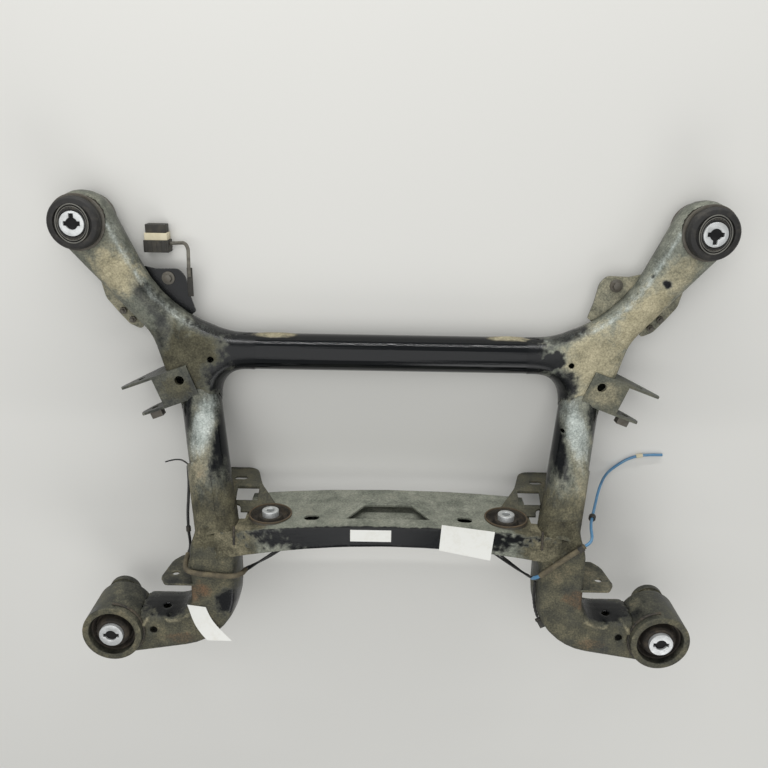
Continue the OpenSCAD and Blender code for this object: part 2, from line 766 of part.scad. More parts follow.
// Front body bushes
front_base_z = arm_seam_z - arm_half_h;
front_lip = 4;
front_lip_h = 3;
front_lip_z = arm_top_z + 4;
front_core_base_z = 3;
front_disc_h = front_bush_top_z - front_lip_z - 2;
module at_front_bush() { translate([front_bush.x, front_bush.y, 0]) children(); }
module front_bush_sleeve(side) {
    r = front_sleeve_od / 2;
    color(steel) on_side(side) at_front_bush() rotate_extrude()
        polygon([[r - sleeve_wall, front_base_z], [r, front_base_z], [r, front_lip_z - front_lip_h],
                 [r + front_lip, front_lip_z - front_lip_h], [r + front_lip, front_lip_z],
                 [r - sleeve_wall, front_lip_z]]);
}
module front_bush_rubber(side) {
    core = front_core_d / 2;
    bore = front_sleeve_od / 2 - sleeve_wall;
    disc = front_sleeve_od / 2 + 0.5;
    top = front_lip_z + front_disc_h;
    color(rubber) on_side(side) at_front_bush() rotate_extrude()
        polygon([[core, 0], [bore - 7, 0], [bore - 7, front_base_z - 2], [bore, front_base_z],
                 [bore, front_lip_z], [disc - 2, front_lip_z], [disc, front_lip_z + 3], [disc, top - 5],
                 [disc - 3, top - 1], [disc - 6, top], [disc - 11, top], [disc - 12, top - 4],
                 [disc - 15, top - 4], [disc - 16, top], [core + 2, top], [core, top - 3]]);
}
keyway = 7;
key_depth = 12;
key_reach = 0.4;
// A body bush core: a bolt bore with a keyed mouth at the top
module bush_core(d, z0, z1, notch) {
    color(aluminium) difference() {
        translate([0, 0, z0]) cylinder(h = z1 - z0, d = d);
        translate([0, 0, z0 - past]) cylinder(h = far, d = body_bolt_d);
        translate([0, 0, z1 - key_depth]) {
            cylinder(h = far, d = body_bolt_d + 3);
            translate([-d / 3, -keyway / 2, 0]) cube([2 * d / 3, keyway, far]);
            if (notch != 0)
                translate([-keyway / 2, notch < 0 ? -key_reach * d : 0, 0])
                    cube([keyway, key_reach * d, far]);
        }
    }
}
module front_bush_core(side) {
    on_side(side) at_front_bush() bush_core(front_core_d, front_core_base_z, front_bush_top_z, -side);
}

// Rear body bushes
rear_core_top_z = foot_ring_z + 4;
module rear_bush_rubber(side) {
    core = rear_core_d / 2;
    bore = rear_rubber_d / 2;
    base = foot_ring_base_z + 5;
    top = foot_ring_z - 12;
    color(rubber) on_side(side) at_rear_bush(0) rotate_extrude()
        polygon([[core, base], [bore, base], [bore, top], [bore - 4, top + 2], [bore - 7, top - 10],
                 [core + 9, top - 10], [core + 8, top + 5], [core + 4, top + 10], [core, top + 10]]);
}
module rear_bush_core(side) {
    on_side(side) at_rear_bush(0) bush_core(rear_core_d, foot_ring_base_z + 1, rear_core_top_z, 0);
}

// Differential bushes, their axes fore and aft
diff_front_y = beam_front_y - 4;
diff_rear_y = beam_rear_y - 19;
diff_room = 2;
module at_diff_bush(y) { translate([diff_bush.x, y, diff_bush.y]) rotate([90, 0, 0]) children(); }
module diff_bush_sleeve(side) {
    r = diff_sleeve_od / 2;
    h = diff_front_y - diff_rear_y;
    color(steel) on_side(side) at_diff_bush(diff_front_y) rotate_extrude()
        polygon([[r - sleeve_wall, 0], [r, 0], [r, h], [r - sleeve_wall, h]]);
}
module diff_bush_rubber(side) {
    core = diff_core_d / 2;
    bore = diff_sleeve_od / 2 - sleeve_wall;
    h = diff_front_y - diff_rear_y;
    color(rubber) on_side(side) at_diff_bush(diff_front_y) rotate_extrude()
        polygon([[core, 2], [core + 5, 2], [core + 8, 10], [bore - 4, 10], [bore, 4], [bore, h - 4],
                 [bore - 4, h - 8], [core + 8, h - 8], [core + 5, h - 2], [core, h - 2]]);
}
module diff_bush_core(side) {
    front_proud = 7;
    rear_proud = 2;
    color(aluminium) on_side(side) at_diff_bush(diff_front_y + front_proud) difference() {
        cylinder(h = diff_front_y - diff_rear_y + front_proud + rear_proud, d = diff_core_d);
        translate([0, 0, -past]) cylinder(h = far, d = diff_bolt_d);
    }
}

// Leads: smooth routes and the tubes along them
function blend(a, b, c, d, t) = 0.5 * (2 * b + (c - a) * t + (2 * a - 5 * b + 4 * c - d) * t ^ 2
                                      + (3 * b - a - 3 * c + d) * t ^ 3);
function smooth(p, per) = let(m = len(p) - 1)
    [for (i = [0:m - 1], k = [0:per - 1])
        blend(p[max(i - 1, 0)], p[i], p[i + 1], p[min(i + 2, m)], k / per), p[m]];
function heading(p, i) = unit(p[min(i + 1, len(p) - 1)] - p[max(i - 1, 0)]);
function hoop(c, way, d, sides) = let(x = unit(cross([0.37, 0.2, 0.91], way)), y = cross(way, x))
    [for (k = [0:sides - 1]) c + d / 2 * (cos(360 * k / sides) * x + sin(360 * k / sides) * y)];
module swept(route, d, sides = 8) {
    m = len(route);
    points = [for (i = [0:m - 1]) each hoop(route[i], heading(route, i), d, sides)];
    faces = [each side_faces(sides, 0, m - 1, false), cap_face(sides, 0, false),
             cap_face(sides, (m - 1) * sides, true)];
    polyhedron(points = points, faces = faces, convexity = 4);
}

// Leads run beside the legs and the feet, and keep to them
lead_room = 1.6;
foot_lead_x = foot_side_x + 6;
function leg_x(y) = leg_front.x + (leg_rear.x - leg_front.x) * (leg_front.y - y) / (leg_front.y - leg_rear.y);
function leg_lead_x(y) = leg_x(y) + (leg_od + black_lead_d) / 2 + lead_room;
function from_foot(x, route) = [for (p = route) [x + p.x, p.y, p.z]];

left_lead_route = [[-leg_lead_x(-66), -66, 106], [-max(leg_lead_x(-90), foot_lead_x + 1), -90, 118],
                   each from_foot(-foot_lead_x, [
                       [0, -112, 130], [0, -135, 140], [0, -165, 143], [0, -186, 139],
                       [0, -198, 138.5], [-0.4, -204.6, 143], [-1, -207.6, 151.2]])];
left_conduit_route = [each from_foot(-foot_lead_x, [
                          [-1, -208, 152], [-1.5, -214, 168], [4, -218, 186], [20, -221, 191.5]]),
                      each from_foot(-foot_in_x, [
                          [-43, -224, 191], [-19, -226, 191], [-2, -226, 189], [7, -227, 180],
                          [11, -228, 166], [23, -227, 152]]),
                      [-205, -217, 142], [-182, -203, 136], [-164, -196, 134], [-150, -191, 133],
                      [-141, -184, 132], [-140, -175.5, 132]];
right_conduit_route = [[140, -175.5, 132], [141, -184, 132], [150, -191, 133], [164, -196, 134],
                       [182, -203, 136], [206, -218, 142],
                       each from_foot(foot_in_x, [
                           [-23, -230, 152], [-11, -231, 166], [-7, -226, 180], [2, -217, 189],
                           [17, -203, 191], [34, -188, 191.5], [51, -174, 192]]),
                       each from_foot(foot_lead_x, [[-22, -163, 192], [-16, -158, 191.5]])];
blue_route = from_foot(foot_lead_x, [
    [-15.4, -157.5, 191.4], [-10, -154.5, 190], [-5, -152, 185], [-1.5, -150, 176], [0.5, -148, 164],
    [3, -147, 150], [7, -146, 134], [13, -145, 116], [20, -142, 97], [28, -136, 76], [36, -128, 56],
    [45, -119, 38], [55, -111, 22], [67, -104, 10], [82, -95, 4], [100, -83, 3.4], [120, -76, 3.9],
    [142, -74, 3.4], [162, -74, 2.6]]);
sensor_route = [[-337.5, 246, 37.4], [-337.5, 262, 37.4], [-338, 277, 34], [-340, 290, 26],
                [-347, 298, 18], [-359, 298, 14], [-371.7, 297, 13.5]];
strap_z = foot_seam_z + 25;
strap_route = [for (p = [[-0.6, 117.4], [-0.6, 99.4], [0.2, 79.4], [6, 55.4], [15.5, 35.4]])
    [foot_in_x + p.x, foot_bottom_y(foot_in_x) + p.y, strap_z]];
strap_d = 4.5;
sensor_lead_d = 6;
clip_d = 12;
clip_l = 9;
tape_l = 12;
tape_t = 1.2;
band_room = 0.3;

module left_loom_lead() { color(lead_black) swept(smooth(left_lead_route, 2), black_lead_d); }
module left_loom_conduit() { color(conduit_brown) swept(smooth(left_conduit_route, 2), conduit_d, 10); }
module right_loom_conduit() { color(conduit_brown) swept(smooth(right_conduit_route, 2), conduit_d, 10); }
module blue_lead() { color(lead_blue) swept(smooth(blue_route, 2), blue_lead_d); }
module loom_strap() { color(lead_black) swept(smooth(strap_route, 2), strap_d); }
module sensor_lead() { color(lead_black) swept(smooth(sensor_route, 2), sensor_lead_d); }

// A round band on a lead between two points of its route
module band(route, i, d, l, hole) {
    way = heading(route, i);
    difference() {
        bar(route[i] - way * l / 2, route[i] + way * l / 2, d);
        bar(route[i] - way * l, route[i] + way * l, hole + 2 * band_room);
    }
}
module loom_clips() {
    color(lead_black) {
        band(left_lead_route, 4, clip_d - 4, clip_l, black_lead_d);
        band(right_conduit_route, 13, clip_d - 0.4, clip_l, conduit_d);
    }
}
module lead_tape() { color(cream) band(blue_route, 16, blue_lead_d + 2 * tape_t, tape_l, blue_lead_d); }
module lead_clip() { color(lead_black) band(blue_route, 7, clip_d, clip_l, blue_lead_d); }

// Sensor strip and the connector that lies on the floor
strip_size = [9, 48, 3];
strip_at = [32 - sensor_bolt.x, sensor_bolt.y - 30];
module sensor_strip() {
    color(paint) translate([strip_at.x, strip_at.y, sensor_bracket_z + thin_t]) cube(strip_size);
}
connector_at = [-414, 283, 0.5];
connector_size = [42, 20, 24];
connector_tip = [34, 14, 20];
lock_l = 12;
module sensor_connector() {
    color(lead_black) translate(connector_at) {
        cube(connector_size);
        translate([connector_size.x / 2 - 8, connector_size.y, 5]) cube([16, lock_l, 12]);
        translate([(connector_size.x - connector_tip.x) / 2, connector_size.y + lock_l, 2])
            cube(connector_tip);
    }
}
module connector_lock() {
    color(cream) translate(connector_at) difference() {
        translate([2, connector_size.y, 1]) cube([connector_size.x - 4, lock_l, 22]);
        translate([connector_size.x / 2 - 8, connector_size.y - past, 5]) cube([16, lock_l + 2 * past, 12]);
    }
}

front_cross_tube();
arm_shell(left, arm_half_h);  // left_arm_upper_shell
arm_shell(right, arm_half_h);  // right_arm_upper_shell
arm_shell(left, -arm_half_h);  // left_arm_lower_shell
arm_shell(right, -arm_half_h);  // right_arm_lower_shell
leg_tube(left);  // left_leg_tube
leg_tube(right);  // right_leg_tube
crossmember_channel();
crossmember_closing_plate();
toe_link_bracket(left);  // left_toe_link_bracket
toe_link_bracket(right);  // right_toe_link_bracket
foot_shell(left, foot_half_h);  // left_foot_upper_shell
foot_shell(right, foot_half_h);  // right_foot_upper_shell
foot_shell(left, -foot_half_h);  // left_foot_lower_shell
foot_shell(right, -foot_half_h);  // right_foot_lower_shell
foot_ring(left);  // left_foot_ring
foot_ring(right);  // right_foot_ring
bump_stop_cup(left);  // left_bump_stop_cup
bump_stop_cup(right);  // right_bump_stop_cup
link_clevis(left);  // left_link_clevis
link_clevis(right);  // right_link_clevis
lower_link_plate(left);  // left_lower_link_plate
lower_link_plate(right);  // right_lower_link_plate
sensor_bracket(left);  // left_sensor_bracket
sensor_bracket(right);  // right_sensor_bracket
stud_flange(left);  // left_stud_flange
stud_flange(right);  // right_stud_flange
front_bush_sleeve(left);  // left_front_bush_sleeve
front_bush_sleeve(right);  // right_front_bush_sleeve
front_bush_rubber(left);  // left_front_bush_rubber
front_bush_rubber(right);  // right_front_bush_rubber
front_bush_core(left);  // left_front_bush_core
front_bush_core(right);  // right_front_bush_core
rear_bush_rubber(left);  // left_rear_bush_rubber
rear_bush_rubber(right);  // right_rear_bush_rubber
rear_bush_core(left);  // left_rear_bush_core
rear_bush_core(right);  // right_rear_bush_core
diff_bush_sleeve(left);  // left_diff_bush_sleeve
diff_bush_sleeve(right);  // right_diff_bush_sleeve
diff_bush_rubber(left);  // left_diff_bush_rubber
diff_bush_rubber(right);  // right_diff_bush_rubber
diff_bush_core(left);  // left_diff_bush_core
diff_bush_core(right);  // right_diff_bush_core
clevis_nuts();
sensor_bracket_bolts();
stud_flange_nuts();
left_loom_lead();
left_loom_conduit();
right_loom_conduit();
loom_clips();
loom_strap();
blue_lead();
lead_tape();
lead_clip();
sensor_strip();
sensor_lead();
sensor_connector();
connector_lock();
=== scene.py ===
"""Looks of a used rear axle subframe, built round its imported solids.

Blender works in metres, +Z up and +Y towards the vehicle's front. Sizes below are millimetres unless a name
says otherwise, and are turned into metres where a mesh is made.
"""

import logging
import math
from dataclasses import dataclass, field, replace
from enum import Enum
from typing import Callable, Iterable, Sequence

import bmesh
import bpy
import numpy as np
from mathutils import Matrix, Vector, noise


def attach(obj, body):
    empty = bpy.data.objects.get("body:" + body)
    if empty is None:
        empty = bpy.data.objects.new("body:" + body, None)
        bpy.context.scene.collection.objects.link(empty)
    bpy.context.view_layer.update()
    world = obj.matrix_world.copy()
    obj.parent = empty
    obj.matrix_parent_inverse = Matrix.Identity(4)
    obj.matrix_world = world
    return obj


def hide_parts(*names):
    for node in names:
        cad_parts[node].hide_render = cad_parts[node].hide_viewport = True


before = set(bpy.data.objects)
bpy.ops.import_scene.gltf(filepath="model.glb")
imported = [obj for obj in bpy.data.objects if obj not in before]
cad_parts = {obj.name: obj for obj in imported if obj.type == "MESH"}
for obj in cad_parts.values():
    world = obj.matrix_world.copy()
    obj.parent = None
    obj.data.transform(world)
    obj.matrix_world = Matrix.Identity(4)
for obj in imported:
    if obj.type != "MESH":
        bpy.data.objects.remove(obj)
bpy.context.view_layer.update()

LOG = logging.getLogger("subframe")
MM = 0.001
WELD = 2e-6
SHARP = math.radians(33)
FLAT = math.radians(1.5)
MOST_SPLITS = 9
Point = tuple[float, float, float]

# The axis of the right leg and the middles of the right body bushes in plan
LEG_FRONT: Point = (328.0, 48.0, 44.0)
LEG_REAR: Point = (283.0, -165.0, 158.0)
FRONT_BUSH: tuple[float, float] = (500.0, 337.0)
REAR_BUSH: tuple[float, float] = (465.0, -337.0)


class Side(Enum):
    """The two sides of the frame, as the photograph shows them."""

    LEFT = -1
    RIGHT = 1

    @property
    def word(self) -> str:
        """The side's name as the CAD nodes spell it."""
        return self.name.lower()


class Row(Enum):
    """The three pairs of bushes, as the CAD nodes spell them."""

    FRONT = "front"
    REAR = "rear"
    DIFF = "diff"


class Coat(Enum):
    """What lies on the paint, with painted highlight and painted shade carried by two of these coats; each is
    a mesh attribute that the steel's material reads.
    """

    DUST = "dust"
    EARTH = "earth"
    MUD = "mud"
    RUST = "rust"
    # Scraped paint, also laid as painted highlight on the legs and along the arm folds
    SCUFF = "scuff"
    # Bare paint; over the feet's front walls it is also painted shade
    CLEAN_AND_SHADE = "clean_and_shade"


def linear(code: str) -> tuple[float, float, float, float]:
    """Turns an sRGB hex colour into linear values.

    Args:
        code: a colour such as "#8b8b7f".

    Returns:
        Red, green, blue and an alpha of 1.
    """
    parts = [int(code[i : i + 2], 16) / 255 for i in (1, 3, 5)]
    red, green, blue = (c / 12.92 if c <= 0.04045 else ((c + 0.055) / 1.055) ** 2.4 for c in parts)
    return red, green, blue, 1.0


def add_node(tree: bpy.types.NodeTree, kind: str, inputs: dict | None = None, **settings) -> bpy.types.Node:
    """Adds one shader node with its settings, values and links.

    Args:
        tree: the material's node tree.
        kind: the node's type.
        inputs: values or sockets by input name or number.
        settings: the node's own properties.

    Returns:
        The new node.
    """
    made = tree.nodes.new(kind)
    for name, value in settings.items():
        setattr(made, name, value)
    for name, value in (inputs or {}).items():
        socket = made.inputs[name]
        if isinstance(value, bpy.types.NodeSocket):
            tree.links.new(value, socket)
        else:
            socket.default_value = value
    return made


def per_mm(size: float) -> float:
    """The texture scale at which a pattern repeats about every size millimetres."""
    return 1 / (size * MM)


def new_material(
    name: str,
) -> tuple[bpy.types.Material, bpy.types.NodeTree, bpy.types.Node, bpy.types.NodeSocket]:
    """Starts a material with one Principled shader.

    Args:
        name: the material's name.

    Returns:
        The material, its tree, its shader and the Object coordinates.
    """
    material = bpy.data.materials.new(name)
    material.use_nodes = True
    tree = material.node_tree
    tree.nodes.clear()
    shader = add_node(tree, "ShaderNodeBsdfPrincipled")
    add_node(tree, "ShaderNodeOutputMaterial", {"Surface": shader.outputs[0]})
    return material, tree, shader, add_node(tree, "ShaderNodeTexCoord").outputs["Object"]


@dataclass(frozen=True)
class Layer:
    """One coat over the paint, with its two tones, its roughness and how it breaks up."""

    coat: Coat
    light: str
    dark: str
    rough: float
    breakup: float
    soft: float
    cover: float = 1.0
    metal: float = 0.0
    streaked: bool = False


@dataclass(frozen=True)
class GrimySteel:
    """Pressed steel, dip painted: satin black where it is clean, matt where dust, mud and rust lie on it,
    pale where scraped and where a highlight is painted.
    """

    name: str
    paint: str = "#0b0d0f"
    paint_rough: float = 0.24
    gloss: float = 0.3
    relief: float = 0.3
    relief_depth: float = 0.8
    # Road dust is finer than the grit and specks, which are drawn as coarse as they need to show
    grit: float = 3.2
    grit_share: float = 0.5
    crust_share: float = 0.5
    blot: float = 24.0
    speck: float = 3.0
    speck_tones: tuple[float, float] = (0.64, 1.2)
    streak: float = 6.0
    streak_stretch: Point = (1.0, 0.14, 0.3)
    tone_middle: float = 0.75
    tone_band: tuple[float, float] = (0.55, 0.95)
    faint: float = 0.12
    layers: tuple[Layer, ...] = (
        Layer(Coat.DUST, "#9b9d8f", "#707468", 0.76, 0.5, 0.5, 0.88),
        Layer(Coat.EARTH, "#5d5945", "#343126", 0.92, 0.75, 0.42, 0.94),
        Layer(Coat.MUD, "#bab193", "#978f73", 0.95, 0.6, 0.46, 0.95),
        Layer(Coat.RUST, "#775740", "#523f2f", 0.9, 1.0, 0.34, 0.85),
        # Pale scraped paint, also laid as painted highlight on the legs and along the arm folds
        Layer(Coat.SCUFF, "#d2d9d4", "#99a19b", 0.4, 0.9, 0.6, 0.84, 0.35, True),
    )

    def material(self) -> bpy.types.Material:
        """Makes the material once and hands it out again after that.

        Returns:
            The material.
        """
        known = bpy.data.materials.get(self.name)
        if known:
            return known
        material, tree, shader, coord = new_material(self.name)
        drawn = add_node(tree, "ShaderNodeMapping", {"Vector": coord, "Scale": self.streak_stretch})
        noises = []
        for vector, size, detail, roughness in (
            (coord, self.grit, 5.0, 0.65),
            (coord, self.blot, 6.0, 0.62),
            (drawn.outputs[0], self.streak, 4.0, 0.6),
            (coord, self.speck, 3.0, 0.7),
        ):
            inputs = {"Vector": vector, "Scale": per_mm(size), "Detail": detail, "Roughness": roughness}
            noises.append(add_node(tree, "ShaderNodeTexNoise", inputs).outputs["Fac"])
        grit, blot, streak, speck = noises
        tone, lines = (
            add_node(tree, "ShaderNodeMath", {0: grit, 1: self.grit_share, 2: wide}, operation="MULTIPLY_ADD")
            for wide in (blot, streak)
        )
        tone, lines = tone.outputs[0], lines.outputs[0]
        low, high = self.tone_band
        spread = {"Value": tone, "From Min": low, "From Max": high}
        shade = add_node(tree, "ShaderNodeMapRange", spread).outputs[0]
        color, rough, metal = linear(self.paint), self.paint_rough, 0.0
        crust = 0.0
        for layer in self.layers:
            level = add_node(tree, "ShaderNodeAttribute", attribute_name=layer.coat.value).outputs["Fac"]
            pattern = lines if layer.streaked else tone
            mixed = {0: pattern, 1: layer.breakup, 2: level}
            broken = add_node(tree, "ShaderNodeMath", mixed, operation="MULTIPLY_ADD").outputs[0]
            rise = {"Value": level, "From Max": self.faint, "To Max": layer.cover}
            cover = add_node(tree, "ShaderNodeMapRange", rise).outputs[0]
            middle = 0.5 + self.tone_middle * layer.breakup
            low, high = middle - layer.soft, middle + layer.soft
            band = {"Value": broken, "From Min": low, "From Max": high, "To Max": cover}
            mask = add_node(tree, "ShaderNodeMapRange", band, interpolation_type="SMOOTHSTEP").outputs[0]
            tones = {0: shade, 6: linear(layer.dark), 7: linear(layer.light)}
            tint = add_node(tree, "ShaderNodeMix", tones, data_type="RGBA").outputs[2]
            color = add_node(tree, "ShaderNodeMix", {0: mask, 6: color, 7: tint}, data_type="RGBA").outputs[2]
            rough = add_node(tree, "ShaderNodeMix", {0: mask, 2: rough, 3: layer.rough}).outputs[0]
            metal = add_node(tree, "ShaderNodeMix", {0: mask, 2: metal, 3: layer.metal}).outputs[0]
            if layer.coat is Coat.MUD:
                crust = mask
        low, high = self.speck_tones
        specks = {"Value": speck, "From Min": 0.3, "From Max": 0.7, "To Min": low, "To Max": high}
        grain_tone = add_node(tree, "ShaderNodeMapRange", specks).outputs[0]
        grainy = {0: 1.0, 6: color, 7: grain_tone}
        color = add_node(tree, "ShaderNodeMix", grainy, data_type="RGBA", blend_type="MULTIPLY").outputs[2]
        raised = {0: crust, 1: self.crust_share, 2: grit}
        height = add_node(tree, "ShaderNodeMath", raised, operation="MULTIPLY_ADD").outputs[0]
        dents = {"Strength": self.relief, "Distance": self.relief_depth * MM, "Height": height}
        bump = add_node(tree, "ShaderNodeBump", dents).outputs[0]
        shader.inputs["Specular IOR Level"].default_value = self.gloss
        tree.links.new(color, shader.inputs["Base Color"])
        tree.links.new(rough, shader.inputs["Roughness"])
        tree.links.new(metal, shader.inputs["Metallic"])
        tree.links.new(bump, shader.inputs["Normal"])
        return material


@dataclass(frozen=True)
class Moulded:
    """Moulded rubber, plastic or cast metal: one tone, faint blotches, dust in its pores and a fine grain."""

    name: str
    base: str
    worn: str
    rough: float
    metal: float = 0.0
    # A moulded or cast grain is finer than this, which is as coarse as it needs to show
    grain: float = 1.2
    blot: float = 14.0
    wear: float = 0.5
    worn_from: float = 0.62
    worn_to: float = 0.8
    worn_spread: float = 0.3
    rough_below: float = 0.08
    rough_above: float = 0.18
    bump: float = 0.2
    bump_depth: float = 0.3

    def material(self) -> bpy.types.Material:
        """Makes the material once and hands it out again after that.

        Returns:
            The material.
        """
        known = bpy.data.materials.get(self.name)
        if known:
            return known
        material, tree, shader, coord = new_material(self.name)
        fine = {"Vector": coord, "Scale": per_mm(self.grain), "Detail": 4.0}
        grain = add_node(tree, "ShaderNodeTexNoise", fine).outputs["Fac"]
        wide = {"Vector": coord, "Scale": per_mm(self.blot), "Detail": 5.0, "Roughness": 0.65}
        blot = add_node(tree, "ShaderNodeTexNoise", wide).outputs["Fac"]
        low = self.worn_from - self.wear * self.worn_spread
        wear = {"Value": blot, "From Min": low, "From Max": self.worn_to, "To Max": self.wear}
        worn = add_node(tree, "ShaderNodeMapRange", wear).outputs[0]
        tones = {0: worn, 6: linear(self.base), 7: linear(self.worn)}
        color = add_node(tree, "ShaderNodeMix", tones, data_type="RGBA").outputs[2]
        low, high = self.rough - self.rough_below, min(1.0, self.rough + self.rough_above)
        gloss = {"Value": blot, "To Min": low, "To Max": high}
        rough = add_node(tree, "ShaderNodeMapRange", gloss).outputs[0]
        dents = {"Strength": self.bump, "Distance": self.bump_depth * MM, "Height": grain}
        bump = add_node(tree, "ShaderNodeBump", dents).outputs[0]
        tree.links.new(color, shader.inputs["Base Color"])
        tree.links.new(rough, shader.inputs["Roughness"])
        tree.links.new(bump, shader.inputs["Normal"])
        shader.inputs["Metallic"].default_value = self.metal
        return material


# Dip paint gives deep black with a soft gloss under whatever dirt the piece has picked up
PAINTED_STEEL = GrimySteel("dip_painted_pressed_steel")
# The cross tube, the legs and the crossmember keep more of the paint's gloss
GLOSSY_STEEL = GrimySteel("dip_painted_drawn_steel", paint_rough=0.1, relief=0.14)
# Matt black rubber, greyed by dust in its pores
BUSH_RUBBER = Moulded("moulded_bush_rubber", "#1d1c1a", "#5d584e", 0.6, wear=0.45)
# Raised marks on the rubber catch more of the dust
MARK_RUBBER = Moulded("moulded_rubber_marks", "#45423b", "#6f695c", 0.7, wear=0.5)
# Rubber of the rear bushes, browned by road dirt
DIRTY_RUBBER = Moulded("moulded_rubber_dirty", "#231f19", "#5f5444", 0.8, wear=0.6)
# Machined aluminium is bright with a satin sheen and dull blotches of oxide
CORE_ALUMINIUM = Moulded("machined_aluminium", "#cfd1d0", "#8f8f8a", 0.42, metal=0.7, grain=0.9, bump=0.15)
# Zinc plated steel dulls to a warm grey
PLATED_STEEL = Moulded("zinc_plated_steel", "#625f57", "#4c3f31", 0.5, metal=0.5, wear=0.7)
# The steel insert of a front bush, dulled to dark grey
INSERT_STEEL = Moulded("pressed_steel_insert", "#6b6a64", "#8d8a80", 0.5, metal=0.4, wear=0.6)
# A flat black disc down a bore, as painted shade
BORE_SHADE = Moulded("painted_bore_shade", "#050505", "#0c0b0a", 0.8, wear=0.2)
# The sensor's lead has a grey woven sleeve
WOVEN_SLEEVE = Moulded(
    "woven_grey_sleeve", "#55524a", "#8f8b7e", 0.8, wear=0.7, grain=1.4, blot=8.0, bump=0.5)
# A thin edge of bare steel that rusts first
RUSTY_EDGE = Moulded("rusted_cut_steel", "#4a4031", "#6b5740", 0.85, wear=0.7, grain=1.6, bump=0.4)
# An arc weld leaves scales along its bead, painted over and dusty in its valleys
WELD_BEAD = Moulded("painted_arc_weld", "#25231e", "#6d614c", 0.6, wear=0.7, grain=2.0, bump=0.5)
# Ribbed conduit, brown with dust
CONDUIT = Moulded("ribbed_nylon_conduit", "#4f4839", "#8b8064", 0.78, wear=0.65)
# Black sheathing, slightly glossy
BLACK_SHEATH = Moulded("extruded_black_sheath", "#171716", "#4c483f", 0.5, wear=0.45)
# Moulded black plastic, browned by dirt
BLACK_PLASTIC = Moulded("moulded_black_nylon", "#23211b", "#5b5445", 0.55, wear=0.55)
# Faded blue sheathing
BLUE_SHEATH = Moulded("extruded_blue_sheath", "#4f7fa3", "#7f9cae", 0.42, wear=0.55)
# Yellowed ivory plastic and tape
CREAM_PLASTIC = Moulded("moulded_ivory_plastic", "#cdc4a8", "#a49670", 0.5, wear=0.5)
# Paper with a faint gloss
PAPER = Moulded("coated_label_paper", "#e2e2dc", "#cbc6b6", 0.55, wear=0.4, grain=2.0, bump=0.05)

# How dirt breaks up: the widths of its blotches in millimetres, then shares of a coat's level
WIDE_BLOT = 42.0
FINE_BLOT = 8.0
FILM_DRIFT = 0.15
PATCH_RAGGED = 0.3
RAGGED = 0.5
LINE_BODY = 0.9
EDGE_BODY = 0.85
CRUST_BODY = 0.6
CRUST_FROM = 0.35
CRUST_SPAN = 0.4
# How sharply a surface turns where its edge starts to wear, and over what span
BEND_FROM = 0.04
BEND_SPAN = 0.12


def grain(points: np.ndarray, size: float) -> np.ndarray:
    """Smooth noise at each point, about -1 to 1.

    Args:
        points: places in millimetres, one row each.
        size: the width of one blotch in millimetres.

    Returns:
        One value for each point.
    """
    return np.array([noise.fractal(Vector(p / size), 1.0, 2.0, 4) for p in points])


@dataclass(frozen=True)
class Patch:
    """A blot of one coat with a ragged edge, turned in plan and measured in millimetres."""

    coat: Coat
    at: Point
    reach: Point
    turn: float = 0.0
    strength: float = 1.0
    feather: float = 0.8

    def weight(self, points: np.ndarray, ragged: np.ndarray) -> np.ndarray:
        """How much of the coat lies at each point.

        Args:
            points: places in millimetres, one row each.
            ragged: noise that roughens the blot's edge.

        Returns:
            One value from 0 to the patch's strength for each point.
        """
        gap = points - np.array(self.at)
        cos, sin = math.cos(math.radians(self.turn)), math.sin(math.radians(self.turn))
        along = (gap[:, 0] * cos + gap[:, 1] * sin) / self.reach[0]
        across = (gap[:, 1] * cos - gap[:, 0] * sin) / self.reach[1]
        away = np.sqrt(along**2 + across**2 + (gap[:, 2] / self.reach[2]) ** 2) + PATCH_RAGGED * ragged
        fall = np.clip((1 + self.feather / 2 - away) / self.feather, 0, 1)
        return self.strength * fall * fall * (3 - 2 * fall)

    def mirrored(self) -> "Patch":
        """The same blot on the other side of the frame."""
        return replace(self, at=(-self.at[0], self.at[1], self.at[2]), turn=-self.turn)


@dataclass(frozen=True)
class Ridge:
    """A pressed fold, or a line of one coat, on a piece's upper side, drawn in plan in millimetres."""

    line: tuple[tuple[float, float], ...]
    width: float
    height: float
    above: float
    coat: Coat = Coat.DUST
    strength: float = 0.0

    def closeness(self, points: np.ndarray, normals: np.ndarray) -> np.ndarray:
        """How close each point of the upper side is to the fold.

        Args:
            points: places in millimetres, one row each.
            normals: the way the surface faces at each point.

        Returns:
            One value from 0, far off, to 1, on the fold, for each point.
        """
        near = np.full(len(points), np.inf)
        for start, end in zip(self.line, self.line[1:]):
            way = np.subtract(end, start)
            from_start = points[:, :2] - np.array(start)
            along = np.clip(from_start @ way / (way @ way), 0, 1)
            near = np.minimum(near, np.linalg.norm(from_start - along[:, None] * way, axis=1))
        facing = np.clip(normals[:, 2], 0, 1) * (points[:, 2] > self.above)
        return facing * np.exp(-((near / self.width) ** 2))

    def mirrored(self) -> "Ridge":
        """The same fold on the other side of the frame."""
        return replace(self, line=tuple((-x, y) for x, y in self.line))


def vectors_of(items: bpy.types.bpy_prop_collection, name: str) -> np.ndarray:
    """Reads a vector of every vertex of a mesh.

    Args:
        items: the mesh's vertices.
        name: the vector's name.

    Returns:
        One row for each vertex.
    """
    flat = np.empty(len(items) * 3)
    items.foreach_get(name, flat)
    return flat.reshape(-1, 3)


